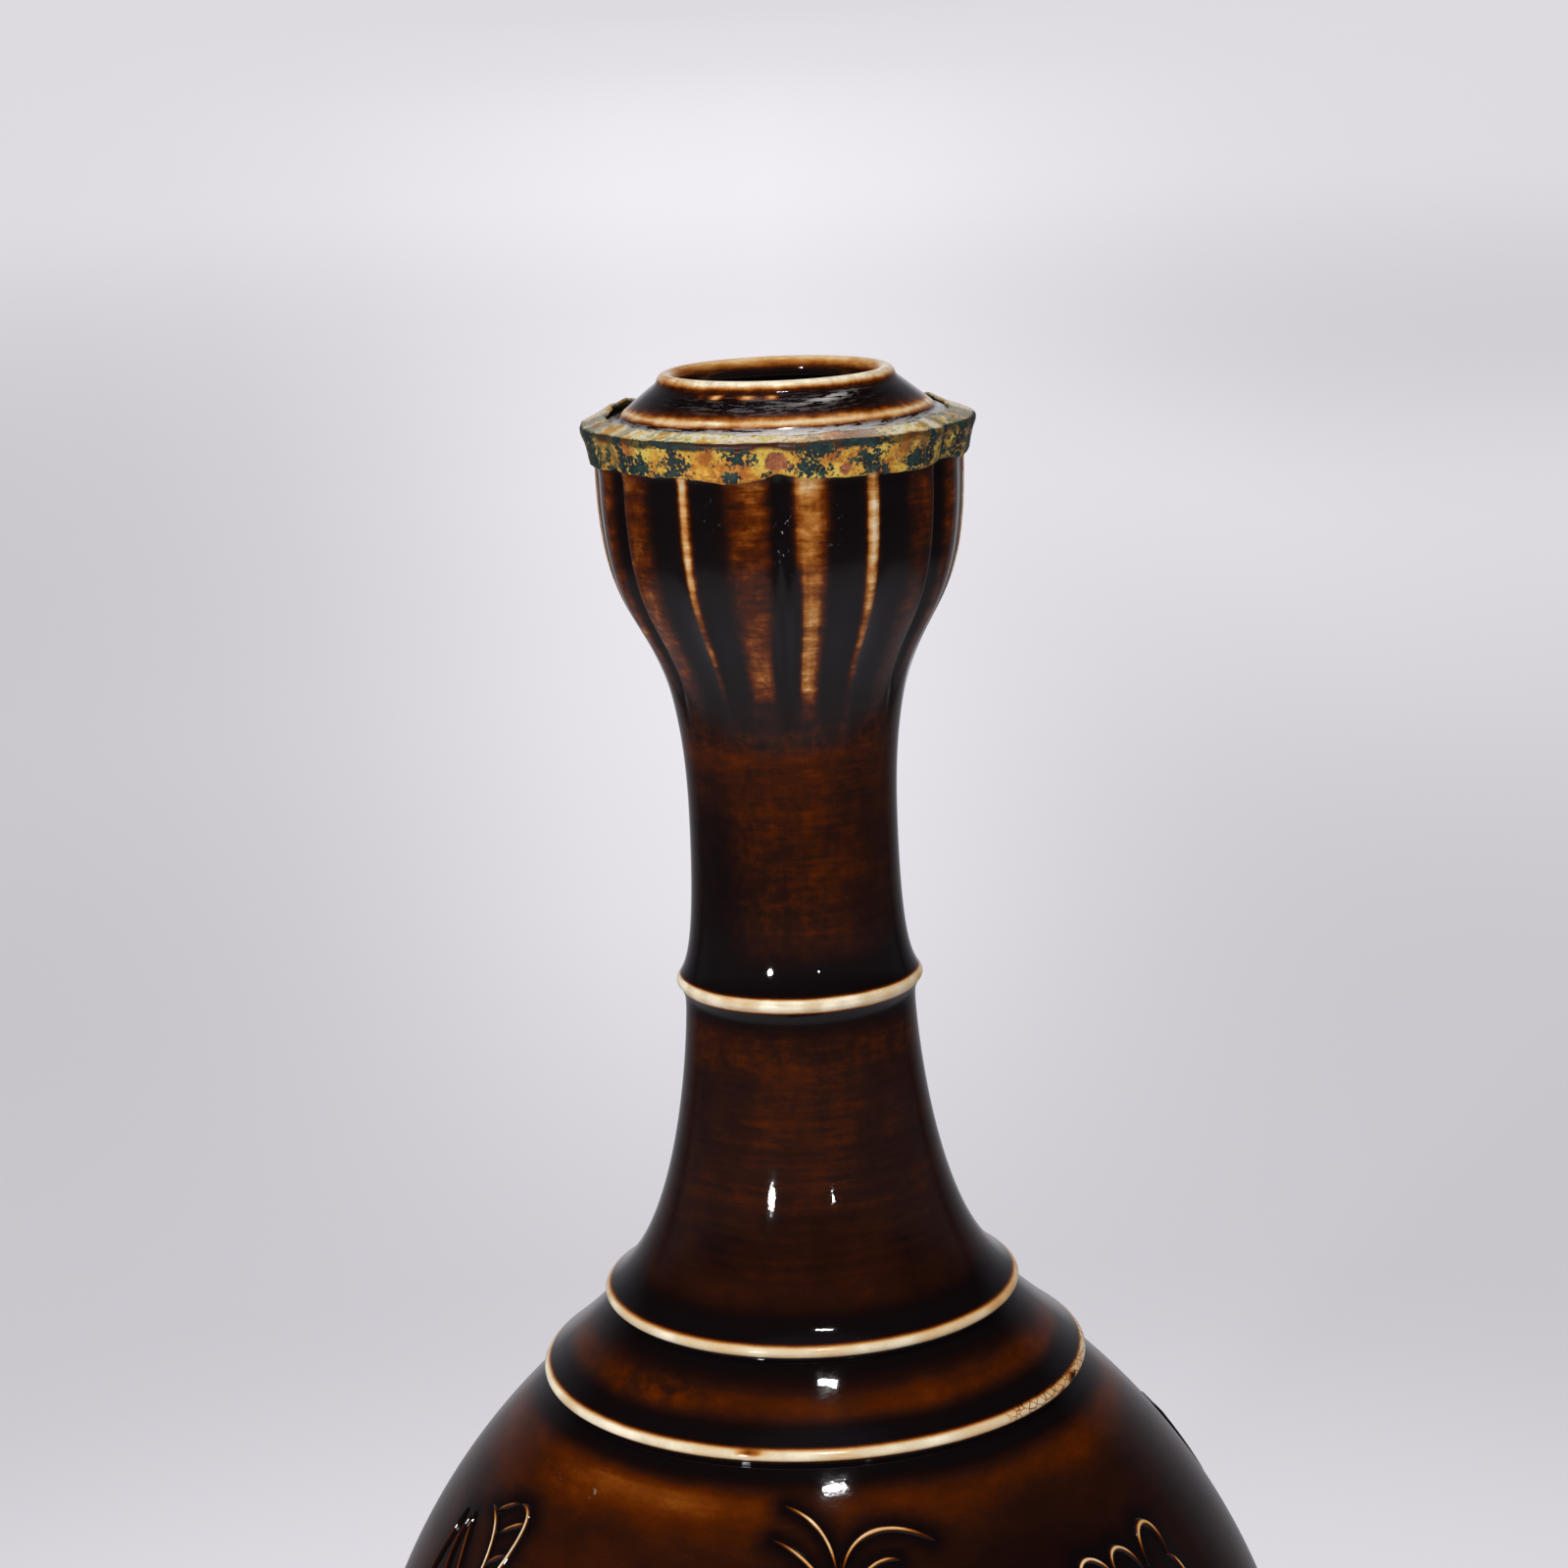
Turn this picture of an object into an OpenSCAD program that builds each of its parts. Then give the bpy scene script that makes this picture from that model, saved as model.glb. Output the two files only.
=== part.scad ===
// Garlic-head vase: a bottle with a globular body on a foot ring, a long waisted
// neck between three raised rings, a head lobed like a garlic bulb, a small raised
// mouth, and a thin metal band folded over the shoulder of the head.
// Lengths are in millimetres. The origin is the centre of the standing rim, with +Z up
// and the front of the vase towards -Y.

/* [Foot] */
// Outside radius of the foot ring where it stands
foot_r = 41; // [34:0.5:50]
// Height of the foot ring
foot_h = 9; // [5:0.5:16]
// Width of the flat rim that the vase stands on
foot_rim_w = 6; // [3:0.5:10]
// Depth of the hollow under the base
foot_recess = 5; // [2:0.5:8]

/* [Body] */
// Radius of the body at its widest
belly_r = 71; // [60:0.5:90]
// Height from the foot ring up to the widest place
belly_h = 75; // [60:1:95]
// Height from the widest place up to the lowest raised ring
shoulder_h = 73.1; // [62:0.5:95]
// Thickness of the fired wall
wall = 4.2; // [2.5:0.1:6]

/* [Raised rings] */
// Radius at the crest of the lowest ring
low_ring_r = 39.3; // [36:0.1:46]
// Height from the lowest ring to the ring above it
collar_h = 11.2; // [9:0.1:18]
// Radius at the crest of the ring at the foot of the neck
high_ring_r = 29.9; // [26:0.1:33]
// Radius at the crest of the ring half way up the neck
neck_ring_r = 17.5; // [16.8:0.1:21]
// How far each crest stands out over the surface below it
ring_step = 1.3; // [0.8:0.1:2]
// Radius of the rounded edge of each ring
ring_edge = 0.75; // [0.5:0.05:1]

/* [Neck] */
// Height from the ring at the foot of the neck to the ring half way up
lower_neck_h = 45.7; // [36:0.5:70]
// Height from the neck ring to the waist, where the neck is thinnest
upper_neck_h = 23; // [16:0.5:40]
// Radius of the neck at its waist
neck_r = 14.65; // [13:0.05:15.5]

/* [Garlic head] */
// Height from the waist to the widest place of the head
head_h = 49.8; // [42:0.2:70]
// Radius of the head at its widest, over the ribs
head_r = 25.4; // [23:0.1:34]
// Number of cloves, each with one rib down its middle
clove_n = 6; // [5:1:8]
// Angle that the cloves are turned from the front
clove_turn = -0.8; // [-15:0.1:15]
// Depth of the groove between two cloves
groove_d = 1.4; // [0.6:0.1:2]
// Depth of the hollow beside each rib
channel_d = 0.6; // [0.2:0.1:1]
// Height from the widest place of the head to the foot of the raised mouth
head_top_h = 7.2; // [6:0.1:12]
// How far the shoulder flares out beyond the head
head_flare = 1.2; // [0.6:0.1:2]
// How far the shoulder falls from the foot of the mouth to its outer edge
ledge_fall = 1.3; // [1:0.1:2.4]

/* [Mouth] */
// Height of the raised mouth above the shoulder
mouth_h = 6; // [5:0.1:10]
// Radius of the raised mouth at its base
cone_r = 21.8; // [19:0.1:22.5]
// Radius of the opening inside the lip
mouth_r = 13.9; // [11:0.1:15]
// Width of the rounded lip
lip_w = 2.5; // [2:0.1:4]

/* [Rim band] */
// Height of the skirt of the band
band_h = 5.4; // [4:0.1:6]
// Thickness of the sheet that the band is folded from
band_t = 0.5; // [0.4:0.05:0.8]
// Room between the sheet and the glaze
band_gap = 0.12; // [0.1:0.01:0.3]
// Width of the flange folded in over the shoulder
flange_w = 2.7; // [1.5:0.1:3]

/* [Relief sprays] */
// How far the lines of the sprays stand out from the body
relief_h = 0.5; // [0.3:0.1:1]
// Width of a relief line at its middle
line_w = 1.1; // [0.8:0.1:1.6]

/* [Hidden] */
$fn = 128;

// Heights of the stations, from the standing rim upwards
z_belly = foot_h + belly_h;
z_low = z_belly + shoulder_h;
z_high = z_low + collar_h;
z_ring = z_high + lower_neck_h;
z_waist = z_ring + upper_neck_h;
z_head = z_waist + head_h;
z_ledge = z_head + head_top_h;
z_lip = z_ledge + mouth_h;
// The cloves start this far above the waist and are at full depth this far above it
clove_start = 0.27 * head_h;
clove_full = 0.66 * head_h;
z_clove = z_waist + clove_start;

// Point t of the curve that leaves a towards b and reaches d from c
function bezier(a, b, c, d, t) =
    a * pow(1 - t, 3) + 3 * b * t * pow(1 - t, 2) + 3 * c * t * t * (1 - t) + d * pow(t, 3);
// The curve as n steps; its last point is left to the piece that follows
function curve(a, b, c, d, n) = [for (i = [0 : n - 1]) bezier(a, b, c, d, i / n)];
// A step of length k along a surface that leans out by slope for each unit of height
function lean(slope, k) = k * [slope, 1] / norm([slope, 1]);
// Eases from 0 at a to 1 at b
function ease(a, b, x) =
    let (t = min(1, max(0, (x - a) / (b - a)))) t * t * (3 - 2 * t);
// The rounded edge of a raised ring whose crest is at radius r and height z
function ring_arc(r, z) =
    [for (a = [-70 : 25 : 55]) [r - ring_edge + ring_edge * cos(a), z + ring_edge * sin(a)]];
function last(list) = list[len(list) - 1];

// Slopes of the wall beside each ring: the radius gained for each millimetre of height
under_low_slope = -1.15;
over_low_slope = -1.5;
under_high_slope = -0.7;
over_high_slope = -1.75;
under_neck_slope = -0.04;
over_neck_slope = -0.6;
// The underside of each ring is this much lower than its rounded edge
under_drop = 0.4;

// Shape of the wall, as points [radius, height]. inset is 0 on the outside, and
// the wall's thickness on the inside.
low_under = [low_ring_r - ring_step, z_low - ring_edge - under_drop];
high_under = [high_ring_r - ring_step, z_high - ring_edge - under_drop];
neck_under = [neck_ring_r - 0.9 * ring_step, z_ring - 4];
// Below its widest place the body is part of an ellipse that meets the foot ring
foot_angle = acos(foot_r / belly_r);
belly_drop = belly_h / sin(foot_angle);
function belly_low(inset, n) = [for (i = [0 : n - 1]) let (a = foot_angle * (1 - i / n))
    [(belly_r - inset) * cos(a), z_belly - (belly_drop - inset) * sin(a)]];
function belly_high(inset, n) = curve(
    [belly_r - inset, z_belly], [belly_r - inset, z_belly + 0.58 * shoulder_h],
    low_under - lean(under_low_slope, 0.11 * shoulder_h) - [inset, 0.9 * inset], low_under - [inset, 0.9 * inset], n);
function collar(start, inset, n) = curve(
    start - [inset, 0.7 * inset], start + lean(over_low_slope, 0.33 * collar_h) - [inset, 0.7 * inset],
    high_under - lean(under_high_slope, 0.25 * collar_h) - [inset, 0.5 * inset],
    high_under - [inset, 0.5 * inset], n);
function lower_neck(start, inset, n) = curve(
    start - [inset, 0.4 * inset], start + lean(over_high_slope, 0.23 * lower_neck_h) - [inset, 0.4 * inset],
    neck_under - lean(under_neck_slope, 0.22 * lower_neck_h) - [inset, 0], neck_under - [inset, 0], n);
function upper_neck(start, inset, n) = curve(
    start - [inset, 0], start + lean(over_neck_slope, 0.09 * upper_neck_h) - [inset, 0],
    [neck_r - inset, z_waist - 0.8 * upper_neck_h], [neck_r - inset, z_waist], n);
function head_point(inset, t) = bezier(
    [neck_r - inset, z_waist], [neck_r - inset, z_waist + 0.67 * head_h],
    [head_r - inset, z_head - 0.555 * head_h], [head_r - inset, z_head], t);

low_ring = ring_arc(low_ring_r, z_low);
high_ring = ring_arc(high_ring_r, z_high);
neck_ring = concat(
    curve(neck_under, neck_under + [0, 1.6], [neck_ring_r - 1.1, z_ring - 2],
        [neck_ring_r - 0.7, z_ring - ring_edge - 0.5], 4),
    ring_arc(neck_ring_r, z_ring));

// Parameter of the head's curve at the height where the cloves start, by halving
function head_t(z, lo = 0, hi = 1, n = 30) =
    n == 0 ? (lo + hi) / 2 :
    let (m = (lo + hi) / 2) head_point(0, m)[1] < z ? head_t(z, m, hi, n - 1) : head_t(z, lo, m, n - 1);
t_clove = head_t(z_clove);
r_clove = head_point(0, t_clove)[0];

// Outside of the wall from the foot to the start of the cloves
outside = concat(
    belly_low(0, 16), belly_high(0, 18), [low_under],
    low_ring, collar(last(low_ring), 0, 6), [high_under],
    high_ring, lower_neck(last(high_ring), 0, 14),
    neck_ring, upper_neck(last(neck_ring), 0, 8),
    [for (i = [0 : 3]) head_point(0, t_clove * i / 4)]);
// Inside of the wall from the floor to the same height, smooth behind the rings
floor_z = foot_recess + 1.3 * wall;
inside = concat(
    [[foot_r - foot_rim_w, floor_z]],
    [for (p = belly_low(wall, 12)) if (p[1] > floor_z + 2) p],
    belly_high(wall, 12), collar(last(low_ring), wall, 3), lower_neck(last(high_ring), wall, 10),
    upper_neck([neck_ring_r - 1, z_ring], wall, 5),
    [for (i = [0 : 2]) head_point(wall, t_clove * i / 3)]);
r_inside = head_point(wall, t_clove)[0];

// Half width of a groove, and where the hollow beside a rib begins, as shares of half
// a clove: the share s runs from 0 in the groove to 1 on the rib
groove_share = 0.11;
channel_from = 0.33;
function groove(s) = groove_d * exp(-pow(s / groove_share, 2));
function channel(s) =
    s < channel_from ? 0 : channel_d * sin(180 * pow((s - channel_from) / (1 - channel_from), 1.7));
// Shares at which the surface has a column of points
shares = [0, 0.05, 0.11, 0.19, 0.3, 0.44, 0.58, 0.7, 0.82, 0.93];
half = 180 / clove_n;
columns = [for (k = [0 : clove_n - 1], m = [0, 1], i = [0 : len(shares) - 1])
    m == 0 ? [2 * half * k + half * shares[i], shares[i]]
    : [2 * half * k + half * (2 - (i == 0 ? 1 : shares[len(shares) - i])),
        i == 0 ? 1 : shares[len(shares) - i]]];

// Closed surface through rings of points. A row is [radius, height, share of the groove's
// depth, share of the channel's depth], and it carries one point for each column.
function lobed_points(rows) = [for (row = rows, c = columns)
    let (r = row[0] - row[2] * groove(c[1]) - row[3] * channel(c[1]), a = c[0] + clove_turn - 90)
    [r * cos(a), r * sin(a), row[1]]];
function skin_faces(n_rows, closed) =
    let (n = len(columns), m = closed ? n_rows : n_rows - 1)
    [for (i = [0 : m - 1], j = [0 : n - 1], side = [0, 1])
        let (k = (j + 1) % n, up = (i + 1) % n_rows)
        side == 0 ? [i * n + j, up * n + k, i * n + k] : [i * n + j, up * n + j, up * n + k]];
function fan_faces(first, centre, top) =
    let (n = len(columns))
    [for (j = [0 : n - 1]) let (k = (j + 1) % n)
        top ? [first + j, centre, first + k] : [first + k, centre, first + j]];

// The shoulder: it flares to edge_r, rounds over and rises as a ledge to the mouth
edge_r = head_r + head_flare;
z_edge = z_ledge - ledge_fall;
flare_h = z_edge - 0.7 - z_head;
ledge_r = cone_r + 0.7;
// Outline of the lobed head, from the start of the cloves to the top of the ledge
lobe_rows = concat(
    [[r_clove + 0.04, z_clove, 0, 0]],
    [for (i = [1 : 13])
        let (p = head_point(0, t_clove + (1 - t_clove) * i / 13),
            e = ease(clove_start, clove_full, p[1] - z_waist))
        [p[0], p[1], e, e]],
    [for (i = [1 : 3]) [head_r + head_flare * ease(0, 3, i), z_head + flare_h * i / 3, 1, 1]],
    [[edge_r - 0.2, z_edge - 0.25, 0.9, 0.9],
    [edge_r - 0.7, z_edge, 0.7, 0.7],
    [ledge_r, z_ledge, 0, 0]]);

module lobed_solid() {
    n = len(columns);
    m = len(lobe_rows);
    polyhedron(
        points = concat(lobed_points(lobe_rows), [[0, 0, z_clove], [0, 0, z_ledge]]),
        faces = concat(skin_faces(m, false), fan_faces(0, n * m, false),
            fan_faces(n * (m - 1), n * m + 1, true)));
}

// Hollow of the head, which runs on into the mouth
mouth_top_in = [mouth_r, z_lip - 2.2];
head_hollow = concat(
    [for (i = [0 : 8]) head_point(wall, t_clove + (1 - t_clove) * i / 8)],
    curve([head_r - wall, z_head], [head_r - wall, z_head + 0.55 * head_top_h],
        mouth_top_in - [-0.9 * (head_r - wall - mouth_r), 0.9 * mouth_h], mouth_top_in, 8));
hollow_at_ledge = [for (p = head_hollow) if (p[1] < z_ledge) p];
above_ledge = [for (p = head_hollow) if (p[1] > z_ledge) p];
ledge_share = (z_ledge - last(hollow_at_ledge)[1]) / (above_ledge[0][1] - last(hollow_at_ledge)[1]);
ledge_in = last(hollow_at_ledge) + ledge_share * (above_ledge[0] - last(hollow_at_ledge));

module lower_wall() {
    rotate_extrude()
        polygon(concat(
            [[foot_r - foot_rim_w, 0], [foot_r - 1.2, 0], [foot_r - 0.3, 0.9]],
            outside, [[r_clove, z_clove], [r_inside, z_clove]],
            [for (i = [len(inside) - 1 : -1 : 0]) inside[i]],
            [[0, floor_z], [0, foot_recess], [foot_r - foot_rim_w - 1, foot_recess]]));
}

module head_wall() {
    difference() {
        lobed_solid();
        rotate_extrude()
            polygon(concat(
                [[0, z_clove - 1], [r_inside, z_clove - 1], [r_inside, z_clove]],
                [for (p = hollow_at_ledge) if (p[1] > z_clove + 0.01) p],
                [ledge_in, [ledge_in[0], z_ledge + 1], [0, z_ledge + 1]]));
    }
}

// Raised mouth: a low cone with a rounded foot and a rolled lip
module mouth_wall() {
    lip_c = [mouth_r + lip_w / 2, z_lip - lip_w / 2];
    rotate_extrude()
        polygon(concat(
            [ledge_in, [cone_r, z_ledge], [cone_r - 0.2, z_ledge + 0.5], [cone_r - 0.9, z_ledge + 1.1]],
            [[mouth_r + lip_w + 1.2, z_lip - 0.9 * lip_w], [mouth_r + lip_w + 0.2, z_lip - 0.6 * lip_w]],
            [for (a = [0 : 15 : 180]) lip_c + lip_w / 2 * [cos(a), sin(a)]],
            [for (i = [len(above_ledge) - 1 : -1 : 0]) above_ledge[i]]));
}

// Relief line along a curve that leaves a towards b and reaches d from c, narrow at both
// ends. Each point is [across, up], from the lowest ring on the middle line of the spray.
module line(a, b, c, d, share = 1) {
    n = 6;
    path = [for (i = [0 : n]) bezier(a, b, c, d, i / n)];
    side = [for (i = [0 : n])
        let (v = path[min(n, i + 1)] - path[max(0, i - 1)],
            k = share * line_w / 2 * (0.3 + 0.7 * sin(180 * i / n)))
        k * [-v[1], v[0]] / norm(v)];
    rotate([90, 0, 0])
        linear_extrude(belly_r + 2)
            polygon(concat([for (i = [0 : n]) path[i] + side[i]],
                [for (i = [n : -1 : 0]) path[i] - side[i]]));
}

// Long narrow blades that arch to both sides of a stem
module blade_lines() {
    line([1.8, -13], [1.4, -8.6], [-1.2, -6.4], [-4.9, -5.4]);
    line([2.1, -17], [0.5, -13], [-3, -9.8], [-6.8, -8.8]);
    line([2.3, -13.5], [2.6, -7.8], [9, -6.8], [15.1, -10.2], 1.2);
    line([2.4, -17], [4.5, -11.6], [8, -10.8], [10.3, -11.6]);
    line([2.3, -11], [1.8, -26], [-1.5, -40], [0.5, -57], 1.3);
    line([1.2, -29], [-2, -19], [-9, -15], [-16, -19], 1.2);
    line([1.4, -31], [5, -21], [12, -18], [19, -24], 1.2);
    line([-0.4, -42], [-6, -33], [-13, -32], [-19, -39], 1.2);
    line([0, -44], [6, -36], [13, -36], [18, -44], 1.2);
    line([-9, -57], [-3, -53], [4, -53], [10, -58]);
}

// A broad veined leaf with grass behind it, over two small leaves
module leaf_lines() {
    line([0.1, -11.7], [6.2, -10.2], [5, -19], [-2, -29], 1.2);
    line([-6.2, -13.7], [-1, -14], [2, -20], [-2, -29]);
    line([-4.3, -14], [-3, -12.9], [-1.4, -12], [0.1, -11.7], 0.8);
    line([-0.8, -15.6], [0.9, -14.2], [2.4, -13.4], [4.1, -13], 0.8);
    line([-0.2, -19.6], [0.8, -18.2], [2, -17.4], [3.8, -17], 0.8);
    line([-10, -15.8], [-8.4, -18.2], [-6, -22], [-2.6, -29]);
    line([-10, -15.8], [-12.5, -20], [-9.5, -26], [-3, -31]);
    line([-13, -16.4], [-13, -20], [-15.6, -25], [-15, -32], 0.8);
    line([-2, -29], [-1, -39], [3, -47], [0, -59], 1.3);
    small_leaf([1.5, -43], [18, -45], 8);
    small_leaf([0.6, -51], [-17, -53], 8);
}

// An open flower of scalloped petals over two small leaves
module blossom_lines() {
    line([-18.6, -21.5], [-18.6, -15.4], [-13.2, -15.4], [-12.6, -20.5]);
    line([-12.2, -20.5], [-12.4, -16], [-7.6, -15.8], [-7, -21]);
    line([-5.6, -21], [-5.4, -15], [1.6, -14.8], [-0.4, -21.4], 1.2);
    line([-0.8, -21], [1.6, -22], [2, -27], [-1.6, -30]);
    line([-1.6, -30], [-3.6, -34], [-8.6, -34], [-9.6, -30]);
    line([-9.6, -30], [-13, -33.6], [-18, -31], [-17.4, -27]);
    line([-17.4, -27], [-20.8, -26], [-21, -22.6], [-18.4, -21.6]);
    line([-12, -25.6], [-11.6, -22.6], [-6.4, -22.6], [-6, -25.6], 0.8);
    line([-6, -25.8], [-6.6, -29], [-11.4, -29], [-12, -25.8], 0.8);
    line([-7, -33], [-6, -43], [2, -49], [0, -60], 1.3);
    small_leaf([-4, -44.4], [15, -46], 8);
    small_leaf([-0.6, -51], [-18, -55], 8);
}

// Two lines that bow apart between stalk and tip
module small_leaf(stalk, tip, bow) {
    v = tip - stalk;
    line(stalk, stalk + 0.3 * v + [0, bow], stalk + 0.75 * v + [0, bow], tip);
    line(stalk, stalk + 0.35 * v, stalk + 0.7 * v, tip, 0.8);
}

// The sprays stand on the upper body: lines cut to a skin that lies over its curve
module relief() {
    root = 1.2;
    intersection() {
        rotate_extrude()
            polygon(concat(belly_high(-relief_h, 10),
                [for (i = [9 : -1 : 0]) belly_high(root, 10)[i]]));
        translate([0, 0, z_low])
            for (i = [0 : 1]) {
                rotate([0, 0, 180 * i]) blade_lines();
                rotate([0, 0, 180 * i + 60]) blossom_lines();
                rotate([0, 0, 180 * i - 60]) leaf_lines();
            }
    }
}

module vase() {
    color("#3a1a08") {
        lower_wall();
        head_wall();
        mouth_wall();
        relief();
    }
}

// Sheet band: a skirt round the head's shoulder and a flange folded in over its top.
// It dents half as deep as the grooves that it bridges.
skirt_r = edge_r + band_gap;
skirt_z = z_edge - 0.6;
hem_r = head_r + band_gap + 0.1;
hem_z = z_edge + band_gap + band_t - band_h;
tip_r = edge_r - flange_w;
// Height of the ledge under the tip of the flange
tip_z = z_ledge - ledge_fall * (tip_r - ledge_r) / (edge_r - 0.7 - ledge_r) + band_gap;
band_rows = [
    [hem_r, hem_z, 0.5, 0],
    [hem_r + band_t, hem_z, 0.5, 0],
    [skirt_r + band_t, skirt_z, 0.5, 0],
    [skirt_r + band_t - 0.2, z_edge + 0.1 * band_t, 0.45, 0],
    [skirt_r - 0.5, z_edge + band_gap + band_t, 0.35, 0],
    [tip_r, tip_z + band_t, 0, 0],
    [tip_r, tip_z, 0, 0],
    [skirt_r - 0.7, z_edge + band_gap, 0.35, 0],
    [skirt_r, skirt_z, 0.5, 0]];

module rim_band() {
    color("#b8923a")
        polyhedron(points = lobed_points(band_rows), faces = skin_faces(len(band_rows), true));
}

vase();
rim_band();
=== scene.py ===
# %% [markdown]
# # A garlic-head vase under brown glaze
#
# The real object is a wheel-thrown bottle with a head lobed like a garlic bulb, glazed dark brown,
# with a thin gilt copper band folded round the head. This lesson dresses the CAD model of it: the
# frame gives the size and the place, and each step adds one surface or one finish.
# Lengths below are millimetres, as a potter would measure them, and become metres only where a
# mesh, a lamp or the camera is made. Heights are above the standing rim, and the front of the vase
# is towards -Y.

# %% Load the frame
import math

import bpy
import numpy as np
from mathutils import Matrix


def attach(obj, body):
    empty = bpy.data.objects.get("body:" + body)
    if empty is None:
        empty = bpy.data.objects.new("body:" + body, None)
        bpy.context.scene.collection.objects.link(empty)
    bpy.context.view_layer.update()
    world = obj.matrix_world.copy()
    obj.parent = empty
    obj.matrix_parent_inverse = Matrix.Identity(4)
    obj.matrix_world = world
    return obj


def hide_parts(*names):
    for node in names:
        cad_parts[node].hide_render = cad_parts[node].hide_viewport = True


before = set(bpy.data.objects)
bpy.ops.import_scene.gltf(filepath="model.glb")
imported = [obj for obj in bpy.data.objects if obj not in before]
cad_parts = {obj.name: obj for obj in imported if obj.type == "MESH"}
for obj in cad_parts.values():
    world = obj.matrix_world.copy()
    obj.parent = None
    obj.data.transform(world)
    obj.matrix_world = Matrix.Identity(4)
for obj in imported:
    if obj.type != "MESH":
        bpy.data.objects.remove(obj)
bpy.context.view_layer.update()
MM = 0.001

# %% [markdown]
# ## Small tools
#
# Colours are written as hex values, the way a screen shows them. The renderer adds up light, so it
# needs them on a linear scale, and one function does that for every colour in the file.
# A node tree could be wired by hand in the editor. One function that adds a node, sets its values
# and links its inputs does the same and can be read from top to bottom. Every node goes into
# `tree`, the node tree in hand, which each material's cell sets first.


# %% Colour helpers
def to_linear(c):
    """Screen levels as light: c / 12.92 near black, and ((c + 0.055) / 1.055) ** 2.4 above it."""
    return np.where(c <= 0.04045, c / 12.92, ((c + 0.055) / 1.055) ** 2.4)


def linear(hex_code):
    """The linear colour of a hex value, with an alpha of 1."""
    levels = np.array([int(hex_code[i : i + 2], 16) for i in (1, 3, 5)]) / 255
    return (*to_linear(levels).tolist(), 1.0)


# %% Node helpers
def add(kind, inputs=None, **settings):
    """Adds a node of this kind. A socket given as an input is linked, and any other value is set."""
    node = tree.nodes.new(kind)
    for name, value in settings.items():
        setattr(node, name, value)
    for name, value in (inputs or {}).items():
        if isinstance(value, bpy.types.NodeSocket):
            tree.links.new(value, node.inputs[name])
        else:
            node.inputs[name].default_value = value
    return node


def math_node(operation, a, b, clamp=False):
    """a and b put together by this operation, as a value socket."""
    return add("ShaderNodeMath", {0: a, 1: b}, operation=operation, use_clamp=clamp).outputs[0]


def plus(a, b, clamp=False):
    """a + b, kept between 0 and 1 if clamp is set."""
    return math_node("ADD", a, b, clamp)


def minus(a, b):
    """a - b."""
    return math_node("SUBTRACT", a, b)


def times(a, b):
    """a times b."""
    return math_node("MULTIPLY", a, b)


def remap(value, start, full, low=0.0, high=1.0, **settings):
    """Takes value from the span start to full on to the span low to high, and holds it at the ends."""
    spans = {"From Min": start, "From Max": full, "To Min": low, "To Max": high}
    return add("ShaderNodeMapRange", {"Value": value, **spans}, **settings).outputs[0]


def ramp(fac, stops):
    """A colour ramp through stops of (place, colour)."""
    node = add("ShaderNodeValToRGB", {"Fac": fac})
    elements = node.color_ramp.elements
    while len(elements) < len(stops):
        elements.new(0.5)
    for element, (place, colour) in zip(elements, stops):
        element.position = place
        element.color = linear(colour)
    return node.outputs["Color"]


def mix(fac, a, b):
    """Colour a turned to b by fac."""
    return add("ShaderNodeMix", {0: fac, 6: a, 7: b}, data_type="RGBA").outputs[2]


def read(name, socket="Fac"):
    """The value that the mesh carries under this name."""
    return add("ShaderNodeAttribute", attribute_name=name).outputs[socket]


def noise(place, scale, detail=3.0, roughness=0.65):
    """Noise around 0.5, with about this many cells to a unit of length."""
    sockets = {"Vector": place, "Scale": scale, "Detail": detail, "Roughness": roughness}
    return add("ShaderNodeTexNoise", sockets).outputs["Fac"]


def part_of(grain, size):
    """(grain - 0.5) times this size."""
    return times(minus(grain, 0.5), size)


def new_material(name):
    """A material with an empty node tree, and that tree."""
    material = bpy.data.materials.new(name)
    material.use_nodes = True
    material.node_tree.nodes.clear()
    return material, material.node_tree


def dress(pieces, material, sockets):
    """Ends the tree with a Principled shader on these sockets and gives the material to the pieces."""
    shader = add("ShaderNodeBsdfPrincipled", sockets)
    add("ShaderNodeOutputMaterial", {"Surface": shader.outputs[0]})
    for piece in pieces:
        piece.data.materials.append(material)
    print(material.name + ":", len(tree.nodes), "nodes")


# %% Mesh helpers
def new_mesh(name, points, faces, attributes):
    """A smooth mesh object from points in mm and faces, with an attribute for each named array."""
    mesh = bpy.data.meshes.new(name)
    mesh.from_pydata((np.asarray(points) * MM).tolist(), [], faces)
    for key, values in attributes.items():
        values = np.asarray(values, np.float32)
        if values.ndim == 1:
            mesh.attributes.new(key, "FLOAT", "POINT").data.foreach_set("value", values)
        else:
            mesh.attributes.new(key, "FLOAT_VECTOR", "POINT").data.foreach_set("vector", values.ravel())
    mesh.polygons.foreach_set("use_smooth", [True] * len(mesh.polygons))
    mesh.update()
    piece = bpy.data.objects.new(name, mesh)
    bpy.context.scene.collection.objects.link(piece)
    return piece


def place_in_scene(name, data, axes, place_mm):
    """A camera or lamp whose own x, y and z point along these axes, at this place in mm."""
    matrix = np.eye(4)
    matrix[:3, :3] = np.transpose(axes)
    matrix[:3, 3] = np.asarray(place_mm) * MM
    thing = bpy.data.objects.new(name, data)
    thing.matrix_world = matrix.T.tolist()
    bpy.context.scene.collection.objects.link(thing)
    return thing


def ease(low, high, x):
    """Goes from 0 at low to 1 at high along 3t^2 - 2t^3, flat at both ends."""
    t = np.clip((np.asarray(x, float) - low) / (high - low), 0, 1)
    return t * t * (3 - 2 * t)


def bump(x, centre, width):
    """A bell exp(-((x - centre) / width)^2)."""
    return np.exp(-(((np.asarray(x, float) - centre) / width) ** 2))


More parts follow.
